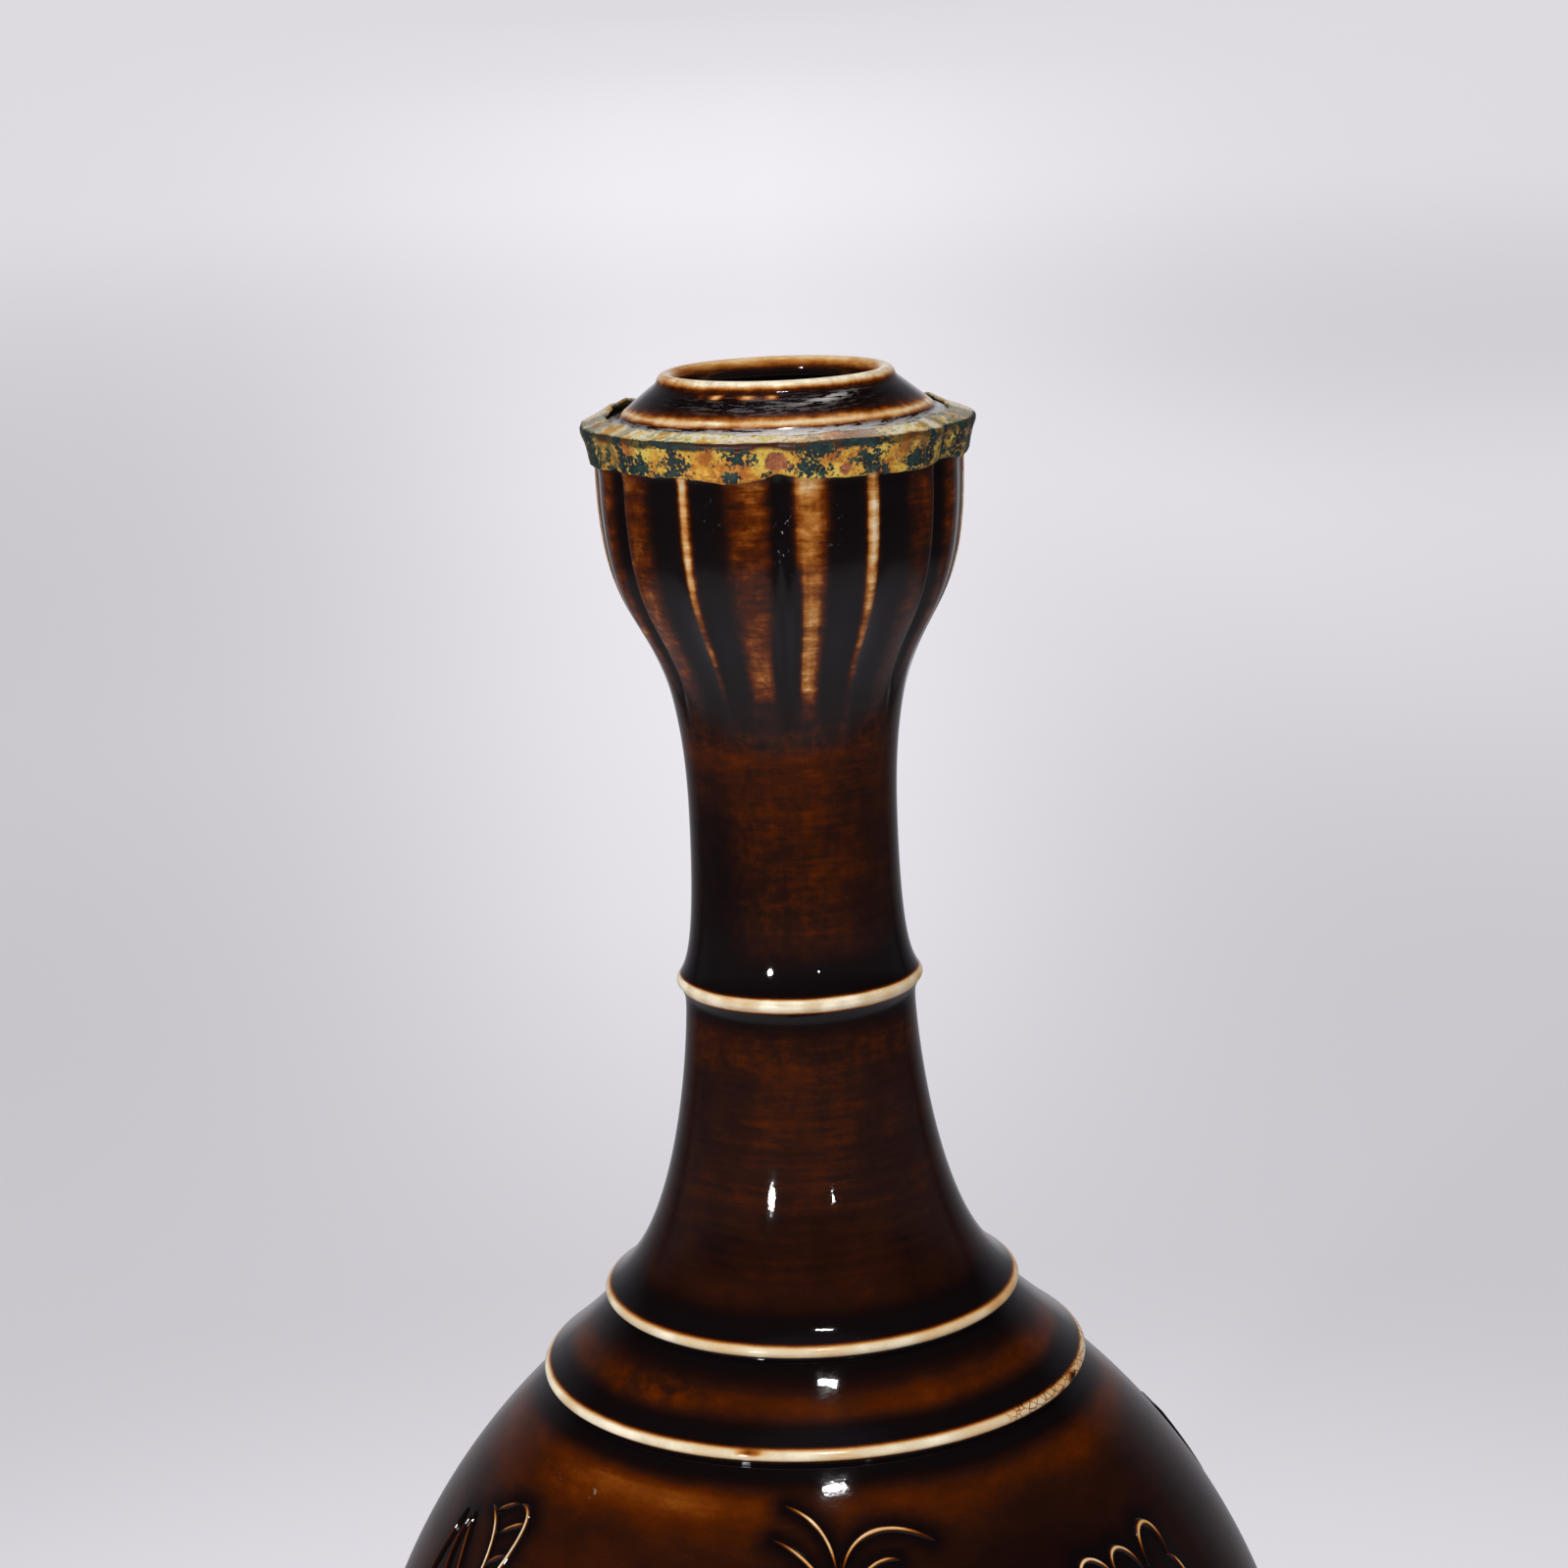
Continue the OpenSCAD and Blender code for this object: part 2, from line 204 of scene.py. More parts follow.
# %% [markdown]
# ## The camera
#
# The photograph was taken from a little above the mouth, close to the vase, which shows the rings
# as open ellipses and cuts the body off. The place, pitch, yaw and roll below come from fitting the
# rings and the outline. The lens is the focal length in pixels over the 1600-pixel frame, times the
# width of the sensor.

# %% Camera
FRAME_PX = 1600
FOCAL_PX = 3667.8
CAMERA_MM = np.array([0.0, -491.6, 354.8])
PITCH, YAW, ROLL = 0.2263, -0.0023, -0.0409
SENSOR_MM = 36

sin, cos = math.sin, math.cos
forward = np.array([cos(PITCH) * sin(YAW), cos(PITCH) * cos(YAW), -sin(PITCH)])
level_right = np.array([cos(YAW), -sin(YAW), 0.0])
level_up = np.array([sin(PITCH) * sin(YAW), sin(PITCH) * cos(YAW), cos(PITCH)])
right = cos(ROLL) * level_right + sin(ROLL) * level_up
up = cos(ROLL) * level_up - sin(ROLL) * level_right

camera_data = bpy.data.cameras.new("camera")
camera_data.sensor_width = SENSOR_MM
camera_data.lens = SENSOR_MM * FOCAL_PX / FRAME_PX
camera_data.clip_start = 0.01
bpy.context.scene.camera = place_in_scene("camera", camera_data, (right, up, -forward), CAMERA_MM)
print("lens, mm:", round(camera_data.lens, 2))

# %% [markdown]
# ## The profile
#
# A thrown pot is a profile carried round an axis. The potter's curves are long and even between
# the raised rings, so each stretch is one cubic Bezier whose end slopes are known. The sizes repeat
# the ones that the CAD source drives, which keeps the glazed surface inside the CAD box.

# %% Sizes and stations
FOOT_R, FOOT_H, FOOT_RIM, FOOT_RECESS = 41.0, 9.0, 6.0, 5.0
BELLY_R, WALL = 70.96, 4.2
Z_BELLY, Z_LOW, Z_HIGH, Z_RING = 84.0, 157.1, 168.3, 214.0
Z_WAIST, Z_HEAD, Z_LEDGE, Z_LIP = 237.0, 286.8, 294.0, 300.0
LOW_R, HIGH_R, RING_R, NECK_R = 39.3, 29.9, 17.5, 14.65
STEP, EDGE = 1.3, 0.75
HEAD_R, FLARE, LEDGE_FALL = 25.4, 1.2, 1.3
CONE_R, MOUTH_R, LIP_W = 21.8, 13.9, 2.5
CLOVES, CLOVE_TURN = 6, -0.8
GROOVE_D, CHANNEL_D = 1.4, 0.6
Z_CLOVE = Z_WAIST + 0.27 * (Z_HEAD - Z_WAIST)
Z_CLOVE_FULL = Z_WAIST + 0.66 * (Z_HEAD - Z_WAIST)


# %% Curves of the profile
def bezier(a, b, c, d, n=80):
    """n points from a to d, as the corners weighted by (1-t)^3, 3t(1-t)^2, 3t^2(1-t) and t^3."""
    t = np.linspace(0, 1, n)[:, None]
    a, b, c, d = (np.asarray(p, float) for p in (a, b, c, d))
    return a * (1 - t) ** 3 + 3 * b * t * (1 - t) ** 2 + 3 * c * t * t * (1 - t) + d * t**3


def lean(slope, length):
    """A step of this length along a wall that gains slope in radius for each unit of height."""
    return length * np.array([slope, 1.0]) / math.hypot(slope, 1.0)


def ring_edge(radius, height):
    """The rounded edge of a raised ring: an arc of radius EDGE from 70 degrees below to 55 above."""
    a = np.radians(np.linspace(-70, 55, 26))
    return np.stack([radius - EDGE + EDGE * np.cos(a), height + EDGE * np.sin(a)], 1)


low_under = np.array([LOW_R - STEP, Z_LOW - EDGE - 0.4])
high_under = np.array([HIGH_R - STEP, Z_HIGH - EDGE - 0.4])
neck_under = np.array([RING_R - 0.9 * STEP, Z_RING - 4])
low_ring, high_ring = ring_edge(LOW_R, Z_LOW), ring_edge(HIGH_R, Z_HIGH)
swell_top = [[RING_R - 1.1, Z_RING - 2], [RING_R - 0.7, Z_RING - EDGE - 0.5]]
neck_swell = bezier(neck_under, neck_under + [0, 1.6], *swell_top)
neck_ring = np.vstack([neck_swell, ring_edge(RING_R, Z_RING)])


def belly_low(inset):
    """Below the widest place: an ellipse, radius (R - inset) cos a and depth (D - inset) sin a."""
    foot_angle = math.acos(FOOT_R / BELLY_R)
    drop = (Z_BELLY - FOOT_H) / math.sin(foot_angle)
    a = np.linspace(foot_angle, 0, 90)
    return np.stack([(BELLY_R - inset) * np.cos(a), Z_BELLY - (drop - inset) * np.sin(a)], 1)


def belly_high(inset=0.0):
    """From the widest place up to the lowest ring."""
    end = low_under - [inset, 0.9 * inset]
    return bezier(
        [BELLY_R - inset, Z_BELLY],
        [BELLY_R - inset, Z_BELLY + 0.58 * (Z_LOW - Z_BELLY)],
        end - lean(-1.15, 0.11 * (Z_LOW - Z_BELLY)),
        end,
        200,
    )


def collar(start, inset):
    """From the lowest ring to the ring at the foot of the neck."""
    rise = Z_HIGH - Z_LOW
    a, d = start - [inset, 0.7 * inset], high_under - [inset, 0.5 * inset]
    return bezier(a, a + lean(-1.4, 0.3 * rise), d - lean(-0.86, 0.3 * rise), d)


def lower_neck(start, inset):
    """From the ring at the foot of the neck to the ring half way up it."""
    rise = Z_RING - Z_HIGH
    a, d = start - [inset, 0.4 * inset], neck_under - [inset, 0]
    return bezier(a, a + lean(-1.75, 0.25 * rise), d - lean(-0.04, 0.22 * rise), d)


def upper_neck(start, inset):
    """From the neck ring to the waist."""
    rise = Z_WAIST - Z_RING
    a, d = start - [inset, 0], np.array([NECK_R - inset, Z_WAIST])
    return bezier(a, a + lean(-0.6, 0.09 * rise), [NECK_R - inset, Z_WAIST - 0.8 * rise], d)


def head(inset):
    """From the waist to the widest place of the head."""
    rise = Z_HEAD - Z_WAIST
    return bezier(
        [NECK_R - inset, Z_WAIST],
        [NECK_R - inset, Z_WAIST + 0.67 * rise],
        [HEAD_R - inset, Z_HEAD - 0.555 * rise],
        [HEAD_R - inset, Z_HEAD],
        160,
    )


# %% [markdown]
# Glaze rounds every corner that it covers. The corners above are sharp where two curves meet, so
# the joined profile is cut into steps of a tenth of a millimetre and averaged with a bell a quarter
# of a millimetre wide, which is what a coat of glaze does to an edge.

# %% Join and soften the profile
edge_r, z_edge = HEAD_R + FLARE, Z_LEDGE - LEDGE_FALL
lip_c = np.array([MOUTH_R + LIP_W / 2, Z_LIP - LIP_W / 2])
lip_angle = np.radians(np.linspace(0, 180, 40))
lip_arc = lip_c + LIP_W / 2 * np.stack([np.cos(lip_angle), np.sin(lip_angle)], 1)
lip_out, lip_in = np.array_split(lip_arc, 2)
flare_t = np.linspace(0, 1, 12)[1:]

outside = np.vstack(
    [
        [[0.02, FOOT_RECESS], [FOOT_R - FOOT_RIM - 1, FOOT_RECESS], [FOOT_R - FOOT_RIM, 0]],
        [[FOOT_R - 1.2, 0], [FOOT_R - 0.3, 0.9]],
        belly_low(0),
        belly_high(),
        low_ring,
        collar(low_ring[-1], 0),
        high_ring,
        lower_neck(high_ring[-1], 0),
        neck_ring,
        upper_neck(neck_ring[-1], 0),
        head(0),
        np.stack([HEAD_R + FLARE * ease(0, 1, flare_t), Z_HEAD + (z_edge - 0.7 - Z_HEAD) * flare_t], 1),
        [[edge_r - 0.2, z_edge - 0.25], [edge_r - 0.7, z_edge], [CONE_R + 0.7, Z_LEDGE]],
        [[CONE_R, Z_LEDGE], [CONE_R - 0.2, Z_LEDGE + 0.5], [CONE_R - 0.9, Z_LEDGE + 1.1]],
        [[MOUTH_R + LIP_W + 1.2, Z_LIP - 0.9 * LIP_W], [MOUTH_R + LIP_W + 0.2, Z_LIP - 0.6 * LIP_W]],
        lip_out,
    ]
)
mouth_in = np.array([MOUTH_R - 0.3, Z_LIP - 3.6])
FLOOR_Z = FOOT_RECESS + 1.3 * WALL
low_in = belly_low(WALL)
inside_up = np.vstack(
    [
        [[0.02, FLOOR_Z], [FOOT_R - FOOT_RIM, FLOOR_Z]],
        low_in[low_in[:, 1] > FLOOR_Z + 2],
        belly_high(WALL),
        collar(low_ring[-1], WALL),
        lower_neck(high_ring[-1], WALL),
        upper_neck(np.array([RING_R - 1, Z_RING]), WALL),
        head(WALL),
        bezier(
            [HEAD_R - WALL, Z_HEAD],
            [HEAD_R - WALL, Z_HEAD + 0.55 * (Z_LEDGE - Z_HEAD)],
            mouth_in + [0.9 * (HEAD_R - WALL - MOUTH_R), -0.9 * (Z_LIP - Z_LEDGE)],
            mouth_in,
        ),
        [[MOUTH_R - 0.2, Z_LIP - 2.8], [MOUTH_R - 0.06, Z_LIP - 1.9]],
    ]
)
corners = np.vstack([outside, lip_in, inside_up[::-1]])


def along(points):
    """Distance along a line of points, from its first."""
    return np.concatenate([[0], np.cumsum(np.hypot(*np.diff(points, axis=0).T))])


def resample(points, places):
    """The points at these distances along the line."""
    s = along(points)
    return np.stack([np.interp(places, s, points[:, k]) for k in (0, 1)], 1)


FINE = 0.1
GLAZE_ROUNDING = 0.25
steps = np.arange(0, along(corners)[-1], FINE)
fine = resample(corners, steps)
reach = int(3 * GLAZE_ROUNDING / FINE)
bell = bump(np.arange(-reach, reach + 1) * FINE, 0, GLAZE_ROUNDING)
bell /= bell.sum()
inner_part = slice(reach, len(fine) - reach)
for k in (0, 1):
    fine[inner_part, k] = np.convolve(fine[:, k], bell, "valid")
s_lip = steps[np.argmax(fine[:, 1])]
print("profile, mm:", round(steps[-1]), "long, lip at", round(float(s_lip)))

# %% [markdown]
# ## Rows and columns
#
# A grid over the pot needs small cells only where the shape or the glaze changes fast: at the
# rings, on the ribs of the head and round the relief. So the rows are spaced by a list of wanted
# distances, and the number of columns doubles twice from the foot to the carved belt and halves
# twice beyond it. Where the number changes, a belt of triangles joins the two rows, so the skin
# stays closed.


# %% Rows
COLUMNS = 240
FOOT_CORNER = 4  # the corner of the outline where the foot turns up into the body
place_of_foot = along(outside)[FOOT_CORNER]


def place_of(height):
    """Distance along the profile at which the outside first reaches this height."""
    out = (steps < s_lip) & (steps > place_of_foot)
    return float(np.interp(height, fine[out, 1], steps[out]))


Z_FOOT_FINE, Z_BELT_LOW, Z_BELT_HIGH = 60.0, 93.0, 156.0
S_FOOT_FINE, S_BELT_LOW, S_BELT_HIGH = map(place_of, (Z_FOOT_FINE, Z_BELT_LOW, Z_BELT_HIGH))
S_IN = s_lip + 6
# Each pair: place along the profile, and the wanted distance between rows there
wanted = [
    (0, 12), (34, 3), (36, 0.7), (44, 0.7), (48, 2.0), (place_of(14), 3.0), (S_FOOT_FINE, 4.0),
    (S_BELT_LOW - 1, 2.5), (S_BELT_LOW, 1.14), (place_of(152), 1.14), (place_of(155.4), 0.5),
    (place_of(156.2), 0.22), (place_of(158.4), 0.25), (place_of(159.6), 0.8), (place_of(165.5), 1.0),
    (place_of(167.2), 0.25), (place_of(169.5), 0.25), (place_of(171), 0.8), (place_of(176), 1.6),
    (place_of(206), 1.8), (place_of(210), 0.8), (place_of(212.5), 0.28), (place_of(215.6), 0.28),
    (place_of(217.5), 0.9), (place_of(222), 1.6), (place_of(246), 1.5), (place_of(256), 1.1),
    (place_of(289), 1.0), (place_of(291.6), 0.5), (place_of(293), 0.4), (place_of(295.5), 0.35),
    (place_of(298.6), 0.5), (s_lip - 1.5, 0.3), (s_lip + 2.5, 0.3), (s_lip + 5, 1.2), (s_lip + 20, 4),
    (s_lip + 120, 6), (steps[-1], 8),
]
spacing = np.interp(steps, *np.array(wanted).T)
count = np.concatenate([[0], np.cumsum(FINE / spacing[1:])])


def rows_between(a, b):
    """Places along the profile from a to b, both included, spaced as wanted."""
    c = np.interp([a, b], steps, count)
    n = max(1, round(c[1] - c[0]))
    return np.interp(np.linspace(c[0], c[1], n + 1), count, steps)


zones = [  # (from, to, number of columns)
    (steps[0], S_FOOT_FINE, COLUMNS // 2),
    (S_FOOT_FINE, S_BELT_LOW, COLUMNS),
    (S_BELT_LOW, S_BELT_HIGH, 2 * COLUMNS),
    (S_BELT_HIGH, S_IN, COLUMNS),
    (S_IN, steps[-1], COLUMNS // 2),
]
row_s, row_n = [], []
for low, high, n in zones:
    places = rows_between(low, high)
    first = 0 if low == steps[0] else 1
    row_s.extend(places[first:])
    row_n.extend([n] * (len(places) - first))
row_s, row_n = np.array(row_s), np.array(row_n)
print("rows:", len(row_s))

# %% [markdown]
# ## The cloves
#
# Each clove of the head is a bulge between two deep grooves, with a sharp rib down its middle and
# a shallow hollow on both sides of the rib. Going round, a share runs from 0 in the groove to 1 on
# the rib and back. The groove is a bell cut into the wall and the hollow is a skewed half sine.
# Columns crowd towards the grooves and ribs on the head and are even on the body.

# %% Columns
HALF = 180 / CLOVES
GROOVE_W, CHANNEL_START = 0.11, 0.33
Z_EVEN, Z_CROWDED = 185, 235
LEDGE_FADE = 4.2
shares = np.array([0, 0.022, 0.045, 0.07, 0.1, 0.135, 0.18, 0.24, 0.31, 0.39,
                   0.47, 0.54, 0.61, 0.68, 0.75, 0.81, 0.865, 0.91, 0.945, 0.972])
up_half, down_half = shares * HALF, (2 - np.append(1, shares[:0:-1])) * HALF
one_clove = np.concatenate([up_half, down_half])
crowded = (one_clove[None, :] + 2 * HALF * np.arange(CLOVES)[:, None]).ravel()
even = np.arange(len(crowded)) * 360 / len(crowded)


def column_angles(n, height):
    """n column angles in degrees from the front groove: even low down, crowded on the head."""
    a = even + (crowded - even) * ease(Z_EVEN, Z_CROWDED, height)
    if n == 2 * len(a):
        middle = (a + np.append(a[1:], a[0] + 360)) / 2
        return np.stack([a, middle], 1).ravel()
    return a[:: len(a) // n]


def clove_share(angle):
    """0 in a groove and 1 on a rib, straight in between."""
    return 1 - abs((angle / HALF) % 2 - 1)


def groove(s):
    """Depth exp(-(s / width)^2), full in the groove."""
    return GROOVE_D * bump(s, 0, GROOVE_W)


def channel(s):
    """Half a sine from the channel's start to the rib, pushed towards the rib."""
    t = np.clip((s - CHANNEL_START) / (1 - CHANNEL_START), 0, 1)
    return CHANNEL_D * np.sin(np.pi * t**1.7)


def lobing(place, height):
    """How deep the cloves are cut: none on the neck, full on the head, none at the mouth."""
    on = ease(Z_CLOVE, Z_CLOVE_FULL, height) * (place < s_lip)
    ledge_s = place_of(Z_LEDGE - 0.05)
    return on * (1 - ease(ledge_s - LEDGE_FADE, ledge_s, place))


def stitch(a, b):
    """Faces between row a and row b above it, where b has as many vertices, twice or half."""
    n, m = len(a), len(b)
    a1, b1 = np.roll(a, -1), np.roll(b, -1)
    if n == m:
        return np.stack([a, a1, b1, b], 1).tolist()
    if m == 2 * n:
        even_b, odd_b, next_b = b[::2], b[1::2], np.roll(b[::2], -1)
        belts = [(a, odd_b, even_b), (a, a1, odd_b), (a1, next_b, odd_b)]
    else:
        even_a, odd_a, next_a = a[::2], a[1::2], np.roll(a[::2], -1)
        belts = [(even_a, odd_a, b), (odd_a, b1, b), (odd_a, next_a, b1)]
    return np.concatenate([np.stack(x, 1) for x in belts]).tolist()


# %% Points of the pot
row_p = np.stack([np.interp(row_s, steps, fine[:, k]) for k in (0, 1)], 1)
row_lobe = np.array([lobing(s, p[1]) for s, p in zip(row_s, row_p)])
angle, place, radius, height, lobe = [], [], [], [], []
first_vertex = []
for s, (r, z), n, e in zip(row_s, row_p, row_n, row_lobe):
    first_vertex.append(sum(map(len, angle)))
    a = column_angles(n, z)
    angle.append(a)
    place.append(np.full(n, s))
    radius.append(np.full(n, r))
    height.append(np.full(n, z))
    lobe.append(np.full(n, e))
angle, place, radius, height, lobe = map(np.concatenate, (angle, place, radius, height, lobe))
share = clove_share(angle)
radius = radius - lobe * (groove(share) + channel(share))
azimuth = np.radians(angle + CLOVE_TURN - 90)

faces = []
for first, n, second, m in zip(first_vertex, row_n, first_vertex[1:], row_n[1:]):
    faces += stitch(np.arange(first, first + n), np.arange(second, second + m))
pot_points = np.stack([radius * np.cos(azimuth), radius * np.sin(azimuth), height], 1)
bottom, top = len(pot_points), len(pot_points) + 1
pot_points = np.vstack([pot_points, [[0, 0, FOOT_RECESS], [0, 0, FLOOR_Z]]])
a, b = np.arange(row_n[0]), first_vertex[-1] + np.arange(row_n[-1])
faces += np.stack([np.full(len(a), bottom), np.roll(a, -1), a], 1).tolist()
faces += np.stack([np.full(len(b), top), b, np.roll(b, -1)], 1).tolist()
triangles = sum(len(f) - 2 for f in faces)
print("pot:", len(pot_points), "points,", triangles, "triangles")

# %% [markdown]
# ## The relief sprays
#
# The sprays are lines of clay trailed on the leather-hard body: blades of grass, an open flower and
# a veined leaf, each repeated on the far side. A line is a Bezier on the flat drawing, wrapped on
# the body, with a rounded section that swells in the middle and tapers to both ends.
# Each line is four corners as (across, up) from the lowest ring, a width share, and how much glaze
# lies on its crest: 0 leaves it cream, and about 0.4 leaves it amber.

# %% Lines of the sprays
BLADES = [
    ((1.8, -13), (1.4, -8.6), (-1.2, -6.4), (-4.9, -5.4), 1.0, 0.04),
    ((2.1, -17), (0.5, -13), (-3, -9.8), (-6.8, -8.8), 0.9, 0.1),
    ((2.3, -13.5), (2.6, -7.8), (9, -6.8), (15.1, -10.2), 1.1, 0.04),
    ((2.4, -17), (4.5, -11.6), (8, -10.8), (10.3, -11.6), 1.0, 0.07),
    ((2.3, -11), (1.8, -26), (-1.5, -40), (0.5, -57), 1.3, 0.1),
    ((1.2, -29), (-2, -19), (-9, -15), (-16, -19), 1.2, 0.08),
    ((1.4, -31), (5, -21), (12, -18), (19, -24), 1.2, 0.06),
    ((-0.4, -42), (-6, -33), (-13, -32), (-19, -39), 1.2, 0.1),
    ((0, -44), (6, -36), (13, -36), (18, -44), 1.2, 0.08),
    ((-9, -57), (-3, -53), (4, -53), (10, -58), 1.0, 0.15),
]
LEAF = [
    ((0.1, -11.7), (6.2, -10.2), (5, -19), (-2, -29), 1.2, 0.0),
    ((-6.2, -13.7), (-1, -14), (2, -20), (-2, -29), 1.0, 0.03),
    ((-4.3, -14), (-3, -12.9), (-1.4, -12), (0.1, -11.7), 0.7, 0.3),
    ((-0.8, -15.6), (0.9, -14.2), (2.4, -13.4), (4.1, -13), 0.8, 0.2),
    ((-0.2, -19.6), (0.8, -18.2), (2, -17.4), (3.8, -17), 0.7, 0.4),
    ((-10, -15.8), (-8.4, -18.2), (-6, -22), (-2.6, -29), 0.9, 0.36),
    ((-10, -15.8), (-12.5, -20), (-9.5, -26), (-3, -31), 0.8, 0.4),
    ((-13, -16.4), (-13, -20), (-15.6, -25), (-15, -32), 0.7, 0.45),
    ((-2, -29), (-1, -39), (3, -47), (0, -59), 1.3, 0.08),
]
BLOSSOM = [
    ((-18.6, -21.5), (-18.6, -15.4), (-13.2, -15.4), (-12.6, -20.5), 1.1, 0.0),
    ((-12.2, -20.5), (-12.4, -16), (-7.6, -15.8), (-7, -21), 1.0, 0.05),
    ((-5.6, -21), (-5.4, -15), (1.6, -14.8), (-0.4, -21.4), 1.2, 0.12),
    ((-0.8, -21), (1.6, -22), (2, -27), (-1.6, -30), 1.0, 0.1),
    ((-1.6, -30), (-3.6, -34), (-8.6, -34), (-9.6, -30), 1.0, 0.06),
    ((-9.6, -30), (-13, -33.6), (-18, -31), (-17.4, -27), 1.0, 0.05),
    ((-17.4, -27), (-20.8, -26), (-21, -22.6), (-18.4, -21.6), 1.0, 0.05),
    ((-12, -25.6), (-11.6, -22.6), (-6.4, -22.6), (-6, -25.6), 0.8, 0.25),
    ((-6, -25.8), (-6.6, -29), (-11.4, -29), (-12, -25.8), 0.8, 0.25),
    ((-7, -33), (-6, -43), (2, -49), (0, -60), 1.3, 0.08),
]


def small_leaf(stalk, tip, bow):
    """Two lines that bow apart between stalk and tip."""
    stalk, tip = np.array(stalk, float), np.array(tip, float)
    v = tip - stalk
    return [
        (stalk, stalk + 0.3 * v + [0, bow], stalk + 0.75 * v + [0, bow], tip, 1.0, 0.08),
        (stalk, stalk + 0.35 * v, stalk + 0.7 * v, tip, 0.8, 0.2),
    ]


LEAF += small_leaf((1.5, -43), (18, -45), 8) + small_leaf((0.6, -51), (-17, -53), 8)
BLOSSOM += small_leaf((-4, -44.4), (15, -46), 8) + small_leaf((-0.6, -51), (-18, -55), 8)
SPRAYS = [(BLADES, 0), (LEAF, -60), (BLOSSOM, 60), (BLADES, 180), (LEAF, 120), (BLOSSOM, 240)]

RELIEF_H, LINE_W, BURIED = 0.5, 1.1, 0.5
on_body = (steps > S_FOOT_FINE) & (steps < place_of(Z_LOW - 1.2))
body_z, body_r = fine[on_body, 1], fine[on_body, 0]
body_slope = np.gradient(body_r, body_z)


def on_surface(across, height, turn, lift=0.0):
    """Wraps a drawing on the body: straight back from (across, height), then out by lift."""
    r = np.interp(height, body_z, body_r)
    a = np.radians(turn - 90) + np.arcsin(across / r)
    tilt = np.arctan(np.interp(height, body_z, body_slope))
    out = r + lift * np.cos(tilt)
    return np.stack([out * np.cos(a), out * np.sin(a), height - lift * np.sin(tilt)], -1)


# %% The relief as one mesh
ALONG, ROUND = 26, 12
top_v = np.linspace(-1, 1, 9)
section_v = np.concatenate([top_v, [0.6, 0, -0.6]])
section_lift = np.concatenate([RELIEF_H * (1 - abs(top_v) ** 2.2) - 0.12 * abs(top_v), [-BURIED] * 3])
line_points, line_glaze, line_faces, spine = [], [], [], []
rng = np.random.default_rng(7)
for lines, turn in SPRAYS:
    for a, b, c, d, width, crest in lines:
        t = np.linspace(0, 1, ALONG)
        path = bezier(a, b, c, d, ALONG)
        tangent = np.gradient(path, axis=0)
        normal = np.stack([-tangent[:, 1], tangent[:, 0]], 1) / np.hypot(*tangent.T)[:, None]
        swell = 0.22 + 0.78 * np.sin(np.pi * t) ** 0.7
        beads = 1 + 0.16 * np.interp(t, np.linspace(0, 1, 9), rng.uniform(-1, 1, 9))
        half = LINE_W / 2 * width * swell * beads
        flat = path[:, None, :] + (half[:, None] * section_v)[..., None] * normal[:, None, :]
        lift = section_lift[None, :] * np.minimum(1, 0.25 + swell * beads)[:, None]
        lift = np.where(lift < 0, section_lift[None, :], lift)
        surface = on_surface(flat[..., 0], Z_LOW + flat[..., 1], turn, lift)
        first = len(line_points) * ALONG * ROUND
        line_points.append(surface.reshape(-1, 3))
        thin = crest + 0.5 * (1 - ease(0, 0.3, np.minimum(t, 1 - t)))[:, None]
        thin = thin + 0.12 * (1 - beads)[:, None]
        across_glaze = ease(0.12, 0.74, abs(section_v))[None, :]
        line_glaze.append(np.clip(thin + (0.97 - thin) * across_glaze, 0, 1).ravel())
        ids = first + np.arange(ALONG * ROUND).reshape(ALONG, ROUND)
        for low_row, high_row in zip(ids[:-1], ids[1:]):
            line_faces += stitch(low_row, high_row)
        line_faces += [ids[0][::-1].tolist(), ids[-1].tolist()]
        spine.append(on_surface(path[:, 0], Z_LOW + path[:, 1], turn))
line_points, line_glaze = np.vstack(line_points), np.concatenate(line_glaze)
spine = np.vstack(spine)
print("relief:", len(line_faces), "faces in", len(spine) // ALONG, "lines")
